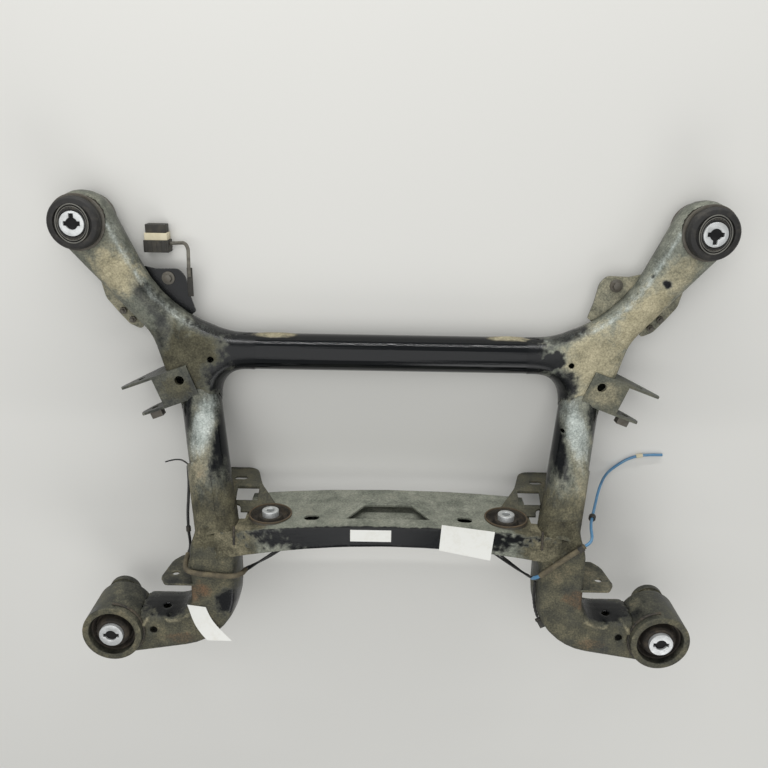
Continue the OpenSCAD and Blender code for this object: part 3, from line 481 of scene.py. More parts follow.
def bend_of(mesh: bpy.types.Mesh, points: np.ndarray, normals: np.ndarray) -> np.ndarray:
    """How sharply a mesh turns at each point: above zero on edges, below zero in creases.

    Args:
        mesh: the mesh.
        points: its places in millimetres, one row each.
        normals: the way its surface faces at each point.

    Returns:
        One value for each point.
    """
    ends = np.empty(len(mesh.edges) * 2, dtype=np.int32)
    mesh.edges.foreach_get("vertices", ends)
    ends = ends.reshape(-1, 2)
    gap = points[ends[:, 1]] - points[ends[:, 0]]
    way = gap / (np.linalg.norm(gap, axis=1) + WELD)[:, None]
    total, tally = np.zeros(len(points)), np.zeros(len(points))
    for end, sign in ((0, -1), (1, 1)):
        here = ends[:, end]
        np.add.at(total, here, sign * np.einsum("ij,ij->i", way, normals[here]))
        np.add.at(tally, here, 1)
    return total / np.maximum(tally, 1)


@dataclass(frozen=True)
class Grime:
    """How road dirt lies on one piece: a film, blots, worn edges, dirt in creases and a raised crust, with
    some blots and lines that paint shade and highlight.
    """

    film: dict[Coat, float]
    patches: tuple[Patch, ...] = ()
    ridges: tuple[Ridge, ...] = ()
    crust: float = 1.2
    settle: float = 0.4
    worn: float = 0.55
    worn_coat: Coat = Coat.DUST
    creased: float = 0.6

    def paint(self, mesh: bpy.types.Mesh) -> None:
        """Presses the folds, writes the coats as attributes of the mesh and raises the mud.

        Args:
            mesh: a mesh in metres whose points are close together.
        """
        points = vectors_of(mesh.vertices, "co") / MM
        normals = vectors_of(mesh.vertices, "normal")
        for ridge in self.ridges:
            points = points + normals * (ridge.height * ridge.closeness(points, normals))[:, None]
        if self.ridges:
            mesh.vertices.foreach_set("co", (points * MM).ravel())
            mesh.update()
            normals = vectors_of(mesh.vertices, "normal")
        wide, fine = grain(points, WIDE_BLOT), grain(points, FINE_BLOT)
        bend = bend_of(mesh, points, normals)
        level = {}
        for coat in Coat:
            film = self.film.get(coat, 0.0)
            facing = 1 - self.settle + self.settle * np.clip(normals[:, 2], 0, 1)
            level[coat] = film * facing + (FILM_DRIFT * wide if film else 0.0)
            for patch in self.patches:
                if patch.coat is coat:
                    level[coat] = np.maximum(level[coat], patch.weight(points, fine))
            for ridge in self.ridges:
                if ridge.coat is coat:
                    line = ridge.strength * ridge.closeness(points, normals) * (LINE_BODY + RAGGED * fine)
                    level[coat] = np.maximum(level[coat], line)
        edge = self.worn * np.clip((bend - BEND_FROM) / BEND_SPAN, 0, 1) * (EDGE_BODY + RAGGED * fine)
        crease = self.creased * np.clip((-bend - BEND_FROM) / BEND_SPAN, 0, 1)
        level[self.worn_coat] = np.maximum(level[self.worn_coat], edge)
        level[Coat.EARTH] = np.maximum(level[Coat.EARTH], crease)
        bare = 1 - np.clip(level.pop(Coat.CLEAN_AND_SHADE), 0, 1)
        for coat, value in level.items():
            shown = np.clip(value * bare, 0, 1)
            store = mesh.attributes.new(coat.value, "FLOAT", "POINT")
            store.data.foreach_set("value", shown.astype(np.float32))
        mud = np.clip((level[Coat.MUD] * bare - CRUST_FROM) / CRUST_SPAN, 0, 1)
        points = points + normals * (self.crust * mud * (CRUST_BODY + RAGGED * fine))[:, None]
        mesh.vertices.foreach_set("co", (points * MM).ravel())
        mesh.update()


def solid_copy(*nodes: str) -> bmesh.types.BMesh:
    """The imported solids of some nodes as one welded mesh.

    Args:
        nodes: names of CAD nodes.

    Returns:
        A mesh in metres.
    """
    shape = bmesh.new()
    for node in nodes:
        shape.from_mesh(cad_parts[node].data)
    bmesh.ops.remove_doubles(shape, verts=shape.verts, dist=WELD)
    return shape


def soften(shape: bmesh.types.BMesh, width: float, segments: int = 2) -> None:
    """Rounds the sharp edges of a mesh.

    Args:
        shape: the mesh to change.
        width: the rounding in millimetres.
        segments: how many facets round an edge.
    """
    bmesh.ops.dissolve_limit(shape, angle_limit=FLAT, verts=shape.verts, edges=shape.edges)
    edges = [e for e in shape.edges if len(e.link_faces) == 2 and e.calc_face_angle(0.0) > SHARP]
    bmesh.ops.bevel(shape, geom=edges, offset=width * MM, offset_type="OFFSET", segments=segments,
                    profile=0.5, affect="EDGES", clamp_overlap=True, material=-1)


def refine(shape: bmesh.types.BMesh, longest: float) -> None:
    """Splits long edges until none is over a length, so that dirt can be painted point by point.

    Args:
        shape: the mesh to change.
        longest: the longest edge to leave, in millimetres.
    """
    bmesh.ops.triangulate(shape, faces=shape.faces)
    for _ in range(MOST_SPLITS):
        edges = [e for e in shape.edges if e.calc_length() > longest * MM]
        if not edges:
            break
        bmesh.ops.subdivide_edges(shape, edges=edges, cuts=1)
        bmesh.ops.triangulate(shape, faces=[f for f in shape.faces if len(f.verts) > 3])


def remeshed(shape: bmesh.types.BMesh, voxel: float, passes: int) -> bmesh.types.BMesh:
    """An even mesh over a welded shape, with its edges eased as worn pressings are.

    Args:
        shape: a closed mesh; it is freed.
        voxel: the new mesh's spacing in millimetres.
        passes: how often the points are evened out.

    Returns:
        The new mesh.
    """
    mesh = bpy.data.meshes.new("pressing")
    shape.to_mesh(mesh)
    shape.free()
    holder = bpy.data.objects.new("pressing", mesh)
    bpy.context.scene.collection.objects.link(holder)
    remesh = holder.modifiers.new("even", "REMESH")
    remesh.mode = "VOXEL"
    remesh.voxel_size = voxel * MM
    even = bmesh.new()
    even.from_object(holder, bpy.context.evaluated_depsgraph_get())
    bpy.data.objects.remove(holder)
    bpy.data.meshes.remove(mesh)
    for _ in range(passes):
        bmesh.ops.smooth_vert(even, verts=even.verts, factor=0.5, use_axis_x=True, use_axis_y=True,
                              use_axis_z=True)
    return even


def ramp(value: float, start: float, end: float) -> float:
    """How far a value has come from the start to the end, from 0 to 1."""
    return min(max((value - start) / (end - start), 0.0), 1.0)


def ease_onto(shape: bmesh.types.BMesh, start: Vector, end: Vector, radius: float,
              run: tuple[float, float]) -> None:
    """Draws a pressing in until it hugs the tube that leaves it.

    Args:
        shape: the pressing's mesh.
        start: a point of the tube's axis in millimetres.
        end: another point of it, the way that the tube leaves.
        radius: the tube's radius in millimetres.
        run: where along the axis, from the start, the drawing in begins and is full.
    """
    way = (end - start).normalized()
    for vert in shape.verts:
        gap = vert.co / MM - start
        along = gap.dot(way)
        share = ramp(along, *run)
        out = gap - along * way
        if share > 0 and out.length > radius:
            pull = share * share * (3 - 2 * share) * (1 - radius / out.length)
            vert.co -= out * pull * MM


def lathe(profile: Sequence[tuple[float, float]], steps: int = 96) -> bmesh.types.BMesh:
    """Turns a closed profile about the Z axis.

    Args:
        profile: radius and height of each corner, in millimetres.
        steps: how many facets go round.

    Returns:
        A closed ring in metres, about the origin.
    """
    shape = bmesh.new()
    corners = [shape.verts.new((r * MM, 0, z * MM)) for r, z in profile]
    edges = [shape.edges.new((a, b)) for a, b in zip(corners, corners[1:] + corners[:1])]
    bmesh.ops.spin(shape, geom=corners + edges, cent=(0, 0, 0), axis=(0, 0, 1), angle=math.tau, steps=steps,
                   use_merge=True)
    bmesh.ops.remove_doubles(shape, verts=shape.verts, dist=WELD)
    bmesh.ops.recalc_face_normals(shape, faces=shape.faces)
    return shape


def place(shape: bmesh.types.BMesh, at: Point, facing: Vector = Vector((0, 0, 1)), turn: float = 0.0) -> None:
    """Moves a mesh made about the origin to its place.

    Args:
        shape: the mesh to move.
        at: its new origin in millimetres.
        facing: the way its Z axis points.
        turn: degrees about its own Z axis.
    """
    spin = facing.to_track_quat("Z", "Y").to_matrix().to_4x4() @ Matrix.Rotation(math.radians(turn), 4, "Z")
    bmesh.ops.transform(shape, matrix=Matrix.Translation(Vector(at) * MM) @ spin, verts=shape.verts)


def finished(name: str, shape: bmesh.types.BMesh, finish: GrimySteel | Moulded,
             nodes: Iterable[str] = (), grime: Grime | None = None, flat: bool = False) -> bpy.types.Object:
    """Makes a mesh a piece of the object.

    Args:
        name: the piece's name.
        shape: its mesh, which is freed.
        finish: the finish that covers it.
        nodes: the CAD nodes it stands for.
        grime: the dirt on it.
        flat: leaves the facets flat.

    Returns:
        The piece.
    """
    mesh = bpy.data.meshes.new(name)
    shape.to_mesh(mesh)
    shape.free()
    piece = bpy.data.objects.new(name, mesh)
    bpy.context.scene.collection.objects.link(piece)
    if grime:
        grime.paint(mesh)
    if not flat:
        mesh.shade_smooth()
        mesh.set_sharp_from_angle(angle=SHARP)
    return dressed(piece, finish, nodes)


def dressed(piece: bpy.types.Object, finish: GrimySteel | Moulded,
            nodes: Iterable[str] = ()) -> bpy.types.Object:
    """Gives a piece its finish and lets it ride on the frame.

    Args:
        piece: the piece.
        finish: the finish that covers it.
        nodes: the CAD nodes it stands for.

    Returns:
        The piece.
    """
    piece.data.materials.append(finish.material())
    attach(piece, "root")
    if nodes:
        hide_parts(*nodes)
    LOG.info("made %s", piece.name)
    return piece


def smooth_route(route: Sequence[Point], per: int) -> list[Vector]:
    """Points on the smooth curve through a route.

    Args:
        route: the route's points in millimetres.
        per: how many steps lie between two of them.

    Returns:
        Points in metres.
    """
    spots = [Vector(p) * MM for p in route]
    last = len(spots) - 1
    found = []
    for i in range(last):
        a, b, c, d = (spots[max(i - 1, 0)], spots[i], spots[i + 1], spots[min(i + 2, last)])
        for k in range(per):
            t = k / per
            found.append(0.5 * (2 * b + (c - a) * t + (2 * a - 5 * b + 4 * c - d) * t**2
                                + (3 * b - a - 3 * c + d) * t**3))
    return found + [spots[last]]


def lead(name: str, spots: Sequence[Vector], thick: float, swell: Callable[[int], float] = lambda i: 1.0,
         closed: bool = False) -> bpy.types.Object:
    """A round lead, bead or wire along a line of points.

    Args:
        name: the piece's name.
        spots: its points in metres.
        thick: its diameter in millimetres.
        swell: the share of that diameter at each point.
        closed: joins the last point to the first.

    Returns:
        A curve object of one spline.
    """
    curve = bpy.data.curves.new(name, "CURVE")
    curve.dimensions = "3D"
    curve.bevel_depth = thick / 2 * MM
    curve.bevel_resolution = 3
    curve.use_fill_caps = True
    line = curve.splines.new("POLY")
    line.points.add(len(spots) - 1)
    line.use_cyclic_u = closed
    line.use_smooth = True
    for i, (point, spot) in enumerate(zip(line.points, spots)):
        point.co = (*spot, 1.0)
        point.radius = swell(i)
    piece = bpy.data.objects.new(name, curve)
    bpy.context.scene.collection.objects.link(piece)
    return piece


@dataclass
class Studio:
    """The floor, the lamps and the camera at the photograph's place."""

    eye: Point = (-11.0, 484.75, 1331.0)
    tilt: float = 18.0
    roll: float = 1.0
    focal_px: float = 785.0
    frame_px: float = 768.0
    sensor: float = 36.0
    floor_size: float = 9000.0
    floor_tone: str = "#d9d8d3"
    cloud_tone: str = "#d4d3ce"
    cloud_size: float = 900.0
    sky_tone: str = "#f4f6f8"
    sky_strength: float = 0.38
    lamps: tuple[tuple[str, Point, tuple[float, float], float], ...] = (
        ("overhead_box", (-500, 300, 2600), (3400, 3400), 46),
        ("front_strip", (0, 2300, 700), (3200, 50), 40),
        ("rear_fill", (900, -1900, 1500), (1600, 1000), 12),
    )

    def camera(self) -> None:
        """Sets the camera that looks down on the frame as the photograph does."""
        tilt, roll = math.radians(self.tilt), math.radians(self.roll)
        ahead = Vector((0, -math.sin(tilt), -math.cos(tilt)))
        over = Vector((0, math.cos(tilt), -math.sin(tilt)))
        across = Vector((1, 0, 0))
        right = across * math.cos(roll) + over * math.sin(roll)
        up = over * math.cos(roll) - across * math.sin(roll)
        data = bpy.data.cameras.new("camera")
        data.sensor_width = self.sensor
        data.lens = self.sensor * self.focal_px / self.frame_px
        data.clip_start = 0.01
        camera = bpy.data.objects.new("camera", data)
        turn = Matrix((right, up, -ahead)).transposed().to_4x4()
        camera.matrix_world = Matrix.Translation(Vector(self.eye) * MM) @ turn
        bpy.context.scene.collection.objects.link(camera)
        bpy.context.scene.camera = camera

    def floor(self) -> None:
        """Lays a plain pale floor under the frame."""
        shape = bmesh.new()
        bmesh.ops.create_grid(shape, x_segments=1, y_segments=1, size=self.floor_size / 2 * MM)
        mesh = bpy.data.meshes.new("floor")
        shape.to_mesh(mesh)
        shape.free()
        floor = bpy.data.objects.new("floor", mesh)
        bpy.context.scene.collection.objects.link(floor)
        material, tree, shader, coord = new_material("painted_studio_floor")
        wide = {"Vector": coord, "Scale": per_mm(self.cloud_size)}
        cloud = add_node(tree, "ShaderNodeTexNoise", wide).outputs["Fac"]
        tones = {0: cloud, 6: linear(self.floor_tone), 7: linear(self.cloud_tone)}
        tint = add_node(tree, "ShaderNodeMix", tones, data_type="RGBA").outputs[2]
        tree.links.new(tint, shader.inputs["Base Color"])
        shader.inputs["Roughness"].default_value = 0.9
        mesh.materials.append(material)

    def lamp(self, name: str, at: Point, size: tuple[float, float], watts: float) -> None:
        """Hangs one soft box that faces the middle of the frame.

        Args:
            name: the lamp's name.
            at: its place in millimetres.
            size: its width and height in millimetres.
            watts: its power.
        """
        data = bpy.data.lights.new(name, "AREA")
        data.shape = "RECTANGLE"
        data.size, data.size_y = (s * MM for s in size)
        data.energy = watts
        lamp = bpy.data.objects.new(name, data)
        spot = Vector(at) * MM
        lamp.matrix_world = Matrix.Translation(spot) @ (-spot).to_track_quat("-Z", "Y").to_matrix().to_4x4()
        lamp.visible_camera = False
        bpy.context.scene.collection.objects.link(lamp)

    def build(self) -> None:
        """Sets up the camera, the floor, the lamps and the sky."""
        self.camera()
        self.floor()
        for name, at, size, watts in self.lamps:
            self.lamp(name, at, size, watts)
        world = bpy.data.worlds.new("sky")
        world.use_nodes = True
        sky = world.node_tree.nodes["Background"]
        sky.inputs["Color"].default_value = linear(self.sky_tone)
        sky.inputs["Strength"].default_value = self.sky_strength
        bpy.context.scene.world = world
        bpy.context.scene.view_settings.view_transform = "Standard"


def softened(name: str, node: str, width: float, finish: Moulded) -> bpy.types.Object:
    """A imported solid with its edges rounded.

    Args:
        name: the piece's name.
        node: the CAD node it stands for.
        width: the rounding in millimetres.
        finish: the finish that covers it.

    Returns:
        The piece.
    """
    shape = solid_copy(node)
    soften(shape, width, segments=3)
    return finished(name, shape, finish, [node])


# The scales of a bead: their depth as a share of its width, and the turn from one point to the next
BEAD_DEPTH = 0.14
BEAD_STEP = 1.7


def bead(name: str, spots: Sequence[Vector], thick: float, closed: bool = False) -> None:
    """An arc weld along a line of points, with the scales that the arc leaves.

    Args:
        name: the bead's name.
        spots: its points in metres.
        thick: its width in millimetres.
        closed: joins the last point to the first.
    """
    scales = lead(name, spots, thick, lambda i: 1 - BEAD_DEPTH + BEAD_DEPTH * math.sin(BEAD_STEP * i), closed)
    dressed(scales, WELD_BEAD)


def arc(centre: Point, across: Vector, over: Vector, sweep: tuple[float, float] = (0.0, 352.5),
        steps: int = 48) -> list[Vector]:
    """Points on part of an ellipse, or all round it for a closed line.

    Args:
        centre: its middle in millimetres.
        across: its first half axis in millimetres.
        over: its second half axis in millimetres.
        sweep: the first and last angle in degrees, from the first half axis.
        steps: how many points to make.

    Returns:
        Points in metres.
    """
    found = []
    for i in range(steps):
        angle = math.radians(sweep[0] + (sweep[1] - sweep[0]) * i / (steps - 1))
        found.append((Vector(centre) + across * math.cos(angle) + over * math.sin(angle)) * MM)
    return found


def block(shape: bmesh.types.BMesh, at: Point, size: Point, turn: float = 0.0) -> None:
    """Adds a box to a mesh.

    Args:
        shape: the mesh to add to.
        at: the box's middle in millimetres.
        size: its width, depth and height in millimetres.
        turn: degrees about its own Z axis.
    """
    spin = Matrix.Rotation(math.radians(turn), 4, "Z") @ Matrix.Diagonal((*(s * MM for s in size), 1.0))
    bmesh.ops.create_cube(shape, size=1.0, matrix=Matrix.Translation(Vector(at) * MM) @ spin)


@dataclass
class Cords:
    """The free leads: the blue one that hangs off the right foot and the sensor's own."""

    foot_lead_x: float = 338.0
    blue_thick: float = 5.0
    sensor_thick: float = 6.0
    blue_run: tuple[Point, ...] = (
        (-15.4, -157.5, 191.4), (-10, -154.5, 190), (-5, -152, 185), (-1.5, -150, 176), (0.5, -148, 164),
        (3, -147, 150), (7, -146, 134), (13, -145, 116), (20, -142, 97), (28, -136, 76), (36, -128, 56),
        (45, -119, 38), (55, -111, 22), (67, -104, 10), (82, -95, 4), (100, -83, 3.4), (120, -76, 3.9),
        (142, -74, 3.4), (162, -74, 2.6))
    sensor_run: tuple[Point, ...] = (
        (-337.5, 246, 37.4), (-337.5, 262, 37.4), (-338, 277, 34), (-340, 290, 26), (-347, 298, 18),
        (-359, 298, 14), (-371.7, 297, 13.5))
    plug_at: Point = (-414.0, 283.0, 24.5)
    plug_ribs: int = 5
    rib_first: tuple[float, float] = (5.0, 10.0)
    rib_pitch: float = 8.0
    rib_size: Point = (2.4, 17.0, 1.6)
    case_edge: float = 1.0
    lock_edge: float = 0.8
    tape_edge: float = 0.4
    clip_edge: float = 1.0

    def length(self, spots: Sequence[Vector]) -> float:
        """The length of a line of points, in metres."""
        return sum((b - a).length for a, b in zip(spots, spots[1:]))

    def plug(self) -> list[bpy.types.Object]:
        """Makes the connector with its ribs and its ivory lock.

        Returns:
            The case and the lock.
        """
        body = solid_copy("sensor_connector")
        soften(body, self.case_edge, segments=3)
        x, y, z = self.plug_at
        for i in range(self.plug_ribs):
            spot = (x + self.rib_first[0] + self.rib_pitch * i, y + self.rib_first[1], z)
            block(body, spot, self.rib_size)
        case = finished("sensor_plug_case", body, BLACK_PLASTIC, ["sensor_connector"])
        lock = softened("sensor_plug_lock", "connector_lock", self.lock_edge, CREAM_PLASTIC)
        return [case, lock]

    def build(self) -> None:
        on_blue = [softened("blue_lead_tape", "lead_tape", self.tape_edge, CREAM_PLASTIC),
                   softened("blue_lead_clip", "lead_clip", self.clip_edge, BLACK_PLASTIC)]
        blue = smooth_route([(self.foot_lead_x + x, y, z) for x, y, z in self.blue_run], per=4)
        sheath = lead("blue_lead_sheath", blue, self.blue_thick)
        piece = dressed(sheath, BLUE_SHEATH, ["blue_lead"])
        run = smooth_route(self.sensor_run, per=6)
        sheath = lead("sensor_lead_sheath", run, self.sensor_thick)
        piece = dressed(sheath, WOVEN_SLEEVE, ["sensor_lead"])
        self.plug()


@dataclass
class Loom:
    """What the frame holds: the left black lead, both conduits and the wires out of them, clips and strap."""

    conduit_thick: float = 9.0
    rib_depth: float = 0.1
    lead_thick: float = 5.0
    wire_thick: float = 3.8
    wire_apart: float = 2.1
    twist: float = 0.14
    left_lead: tuple[Point, ...] = (
        (-342, -66, 106), (-339, -90, 118), (-338, -112, 130), (-338, -135, 140), (-338, -165, 143),
        (-338, -186, 139), (-338, -198, 138.5), (-338.4, -204.6, 143), (-339, -207.6, 151.2))
    left_conduit: tuple[Point, ...] = (
        (-339, -208, 152), (-339.5, -214, 168), (-334, -218, 186), (-318, -221, 191.5), (-294, -224, 191),
        (-270, -226, 191), (-253, -226, 189), (-244, -227, 180), (-240, -228, 166))
    left_wires: tuple[Point, ...] = (
        (-244, -227, 180), (-240, -228, 166), (-228, -227, 152), (-205, -217, 142), (-182, -203, 136),
        (-164, -196, 134), (-150, -191, 133), (-141, -184, 132), (-140, -175.5, 132))
    right_wires: tuple[Point, ...] = (
        (140, -175.5, 132), (141, -184, 132), (150, -191, 133), (164, -196, 134), (182, -203, 136),
        (206, -218, 142), (228, -230, 152), (240, -231, 166), (244, -226, 180), (253, -217, 189))
    right_conduit: tuple[Point, ...] = (
        (253, -217, 189), (268, -203, 191), (285, -188, 191.5), (302, -174, 192), (316, -163, 192),
        (322, -158, 191.5))
    blue_sleeve: tuple[Point, ...] = (
        (243.5, -228.5, 176), (246, -223, 184), (252, -217.5, 189), (260, -210, 190.2))
    sleeve_thick: float = 6.4
    strap: tuple[Point, ...] = (
        (250.4, -240, 168), (250.4, -258, 168), (251.2, -278, 168), (257, -302, 168), (266.5, -322, 168))
    strap_thick: float = 4.5
    braid_depth: float = 0.2
    plug_parts: tuple[tuple[Point, Point], ...] = (
        ((266.5, -322, 168), (9, 15, 8)), ((262.5, -314.5, 168), (12, 4, 6)))
    plug_turn: float = 28.0
    plug_edge: float = 0.8
    tie_tail: tuple[Point, ...] = ((-337, -64, 110), (-349, -53, 112), (-362, -52, 112), (-379, -58, 108))
    tie_thick: float = 2.6
    clip_edge: float = 0.8

    def conduit(self, name: str, route: Sequence[Point], node: str) -> None:
        """A ribbed tube along a route.

        Args:
            name: the tube's name.
            route: the route's points in millimetres.
            node: the CAD node it stands for.
        """
        tube = lead(name, smooth_route(route, per=12), self.conduit_thick,
                    lambda i: 1 - self.rib_depth * (i % 2))
        dressed(tube, CONDUIT, [node])

    def wires(self, name: str, route: Sequence[Point]) -> None:
        """Two thin leads that run twisted along a route.

        Args:
            name: the start of their names.
            route: the route's points in millimetres.
        """
        spots = smooth_route(route, per=6)
        for which, sign in (("a", 1), ("b", -1)):
            moved = []
            for i, spot in enumerate(spots):
                way = spots[min(i + 1, len(spots) - 1)] - spots[max(i - 1, 0)]
                side = way.cross(Vector((0, 0, 1))).normalized()
                over = side.cross(way).normalized()
                angle = self.twist * i
                out = side * math.cos(angle) + over * math.sin(angle)
                moved.append(spot + sign * self.wire_apart * MM * out)
            dressed(lead(f"{name}_{which}", moved, self.wire_thick), BLACK_SHEATH)

    def build(self) -> None:
        """Lays the held leads."""
        sheath = lead("left_lead_sheath", smooth_route(self.left_lead, per=8), self.lead_thick)
        dressed(sheath, BLACK_SHEATH, ["left_loom_lead"])
        self.conduit("left_conduit_ribs", self.left_conduit, "left_loom_conduit")
        self.conduit("right_conduit_ribs", self.right_conduit, "right_loom_conduit")
        self.wires("left_wire", self.left_wires)
        self.wires("right_wire", self.right_wires)
        sleeve = lead("blue_sleeve", smooth_route(self.blue_sleeve, per=6), self.sleeve_thick)
        dressed(sleeve, BLUE_SHEATH)
        braid = lead("strap_braid", smooth_route(self.strap, per=9), self.strap_thick,
                     lambda i: 1 - self.braid_depth * (i % 3 == 0))
        dressed(braid, BLACK_SHEATH, ["loom_strap"])
        plug = bmesh.new()
        for spot, size in self.plug_parts:
            block(plug, spot, size, self.plug_turn)
        soften(plug, self.plug_edge)
        finished("strap_plug", plug, BLACK_PLASTIC)
        tail = lead("tie_tail", smooth_route(self.tie_tail, per=6), self.tie_thick)
        dressed(tail, BLACK_SHEATH)
        softened("loom_clip_bands", "loom_clips", self.clip_edge, BLACK_PLASTIC)


def welded_pressings(nodes: Sequence[str], seam_z: float) -> bmesh.types.BMesh:
    """Two pressings as one shell, without the two rims that meet at their seam.

    Args:
        nodes: the CAD nodes of the two pressings.
        seam_z: the height of their seam in millimetres.

    Returns:
        A closed mesh in metres.
    """
    shape = solid_copy(*nodes)
    rims = [f for f in shape.faces if all(abs(v.co.z - seam_z * MM) < 10 * WELD for v in f.verts)]
    bmesh.ops.delete(shape, geom=rims, context="FACES")
    return shape


@dataclass
class FrontArm:
    """A front arm: two pressings welded into one hollow horn round the front bush."""

    side: Side
    grime: Grime
    seam_z: float = 42.0
    voxel: float = 2.4
    tube_y: float = 121.5
    tube_radius: float = 31.3
    neck: tuple[float, float] = (-310.0, -228.0)
    leg: tuple[Point, Point] = (LEG_FRONT, LEG_REAR)
    leg_radius: float = 34.4
    leg_neck: tuple[float, float] = (-22.0, 30.0)
    top_z: float = 76.0
    flank_fall: float = 0.8
    bush: tuple[float, float] = FRONT_BUSH
    bush_room: tuple[float, float] = (56.0, 90.0)
    tube_room: tuple[float, float] = (262.0, 310.0)
    passes: int = 3

    def slope_flank(self, shape: bmesh.types.BMesh) -> None:
        """Lets the top fall away on the inner side of its ridge, clear of the bush and the tube.

        Args:
            shape: the arm's mesh.
        """
        s = self.side.value
        line = [Vector((x * s, y)) for x, y in ARM_RIDGE]
        bush = Vector((self.bush[0] * s, self.bush[1]))
        for vert in shape.verts:
            x, y, z = vert.co / MM
            if z <= self.seam_z:
                continue
            spot = Vector((x, y))
            gap, inner = math.inf, 0.0
            for start, end in zip(line, line[1:]):
                way = end - start
                share = ramp((spot - start).dot(way), 0.0, way.length_squared)
                away = spot - start - share * way
                if away.length < gap:
                    gap, inner = away.length, s * (away.x * way.y - away.y * way.x)
            if inner > 0:
                fade = ramp((spot - bush).length, *self.bush_room) * ramp(abs(x), *self.tube_room)
                height = (z - self.seam_z) / (self.top_z - self.seam_z)
                vert.co.z -= self.flank_fall * gap * fade * height * MM

    def build(self) -> None:
        """Welds the two pressings, draws their ends in and covers them with dust, mud and a painted highlight
        along the folds.
        """
        nodes = [f"{self.side.word}_arm_upper_shell", f"{self.side.word}_arm_lower_shell"]
        shape = remeshed(welded_pressings(nodes, self.seam_z), self.voxel, self.passes)
        self.slope_flank(shape)
        middle = Vector((0, self.tube_y, self.seam_z))
        ease_onto(shape, middle, middle - Vector((self.side.value, 0, 0)), self.tube_radius, self.neck)
        front, rear = (Vector((x * self.side.value, y, z)) for x, y, z in self.leg)
        ease_onto(shape, front, rear, self.leg_radius, self.leg_neck)
        finished(f"{self.side.word}_arm", shape, PAINTED_STEEL, nodes, self.grime)


@dataclass
class LegTube:
    """A leg: a drawn tube that climbs from the arm to the foot, with the foot's tongue laid over its end."""

    side: Side
    grime: Grime
    front: Point = LEG_FRONT
    rear: Point = LEG_REAR
    radius: float = 34.0
    tongue_run: tuple[float, float] = (0.5, 0.95)
    tongue_arc: tuple[float, float] = (-14.0, 104.0)
    tongue_wall: float = 2.2
    tongue_steps: int = 24
    tongue_fade: float = 0.5
    tongue_sunk: float = 0.5
    edge: float = 0.7
    spacing: float = 8.0

    def at(self, share: float) -> Vector:
        """The point of the leg's axis at a share of its length, in millimetres."""
        spot = Vector(self.front).lerp(Vector(self.rear), share)
        return Vector((spot.x * self.side.value, spot.y, spot.z))

    def tongue(self) -> bmesh.types.BMesh:
        """Bends the tongue round the tube's outer side, its inner edge sunk in the tube.

        Returns:
            A closed mesh in metres, in its place.
        """
        first, last = (self.at(share) for share in self.tongue_run)
        shape = bmesh.new()
        angle = math.radians(self.tongue_arc[0])
        reach = (self.radius + self.tongue_wall) * MM
        spot = Vector((self.side.value * reach * math.sin(angle), reach * math.cos(angle), 0))
        ends = [shape.verts.new(spot), shape.verts.new(spot + Vector((0, 0, (last - first).length * MM)))]
        line = shape.edges.new(ends)
        sweep = math.radians(self.tongue_arc[1] - self.tongue_arc[0])
        bmesh.ops.spin(shape, geom=[*ends, line], cent=(0, 0, 0), axis=(0, 0, 1),
                       angle=-self.side.value * sweep, steps=self.tongue_steps)
        bmesh.ops.remove_doubles(shape, verts=shape.verts, dist=WELD)
        full = self.tongue_fade * (self.tongue_arc[1] - self.tongue_arc[0])
        for vert in shape.verts:
            turned = math.degrees(math.atan2(self.side.value * vert.co.x, vert.co.y)) - self.tongue_arc[0]
            share = min(1.0, turned / full)
            lift = self.tongue_wall * ((1 + self.tongue_sunk) * share - self.tongue_sunk)
            vert.co.xy = vert.co.xy.normalized() * (self.radius + lift) * MM
        bmesh.ops.solidify(shape, geom=shape.faces, thickness=self.tongue_wall * MM)
        bmesh.ops.recalc_face_normals(shape, faces=shape.faces)
        place(shape, tuple(first), last - first)
        return shape

    def build(self) -> None:
        """Makes the tube anew from its solid and lays the tongue on it."""
        node = f"{self.side.word}_leg_tube"
        shape = solid_copy(node)
        soften(shape, self.edge)
        refine(shape, self.spacing)
        finished(f"{node}_wall", shape, GLOSSY_STEEL, [node], self.grime)
        tongue = self.tongue()
        soften(tongue, self.edge)
        refine(tongue, self.spacing)
        finished(f"{self.side.word}_foot_tongue", tongue, PAINTED_STEEL, (), self.grime)


@dataclass
class RearFoot:
    """A rear foot: two pressings that carry the rear bush ring and the bump stop cup."""

    side: Side
    grime: Grime
    seam_z: float = 143.0
    voxel: float = 2.4
    leg: tuple[Point, Point] = (LEG_REAR, LEG_FRONT)
    leg_radius: float = 35.4
    leg_neck: tuple[float, float] = (-24.0, 27.0)
    passes: int = 2
    ring_edge: float = 1.6
    ring_spacing: float = 5.0

    def build(self) -> None:
        """Welds the pressings, sets the ring in them and covers them with dirt and with painted shade on the
        front wall.
        """
        nodes = [f"{self.side.word}_foot_upper_shell", f"{self.side.word}_foot_lower_shell"]
        shape = remeshed(welded_pressings(nodes, self.seam_z), self.voxel, self.passes)
        rear, front = (Vector((x * self.side.value, y, z)) for x, y, z in self.leg)
        ease_onto(shape, rear, front, self.leg_radius, self.leg_neck)
        finished(f"{self.side.word}_foot", shape, PAINTED_STEEL, nodes, self.grime)
        for node in (f"{self.side.word}_foot_ring", f"{self.side.word}_bump_stop_cup"):
            turned = solid_copy(node)
            soften(turned, self.ring_edge, segments=3)
            refine(turned, self.ring_spacing)
            finished(f"{node}_turned", turned, PAINTED_STEEL, [node], self.grime)


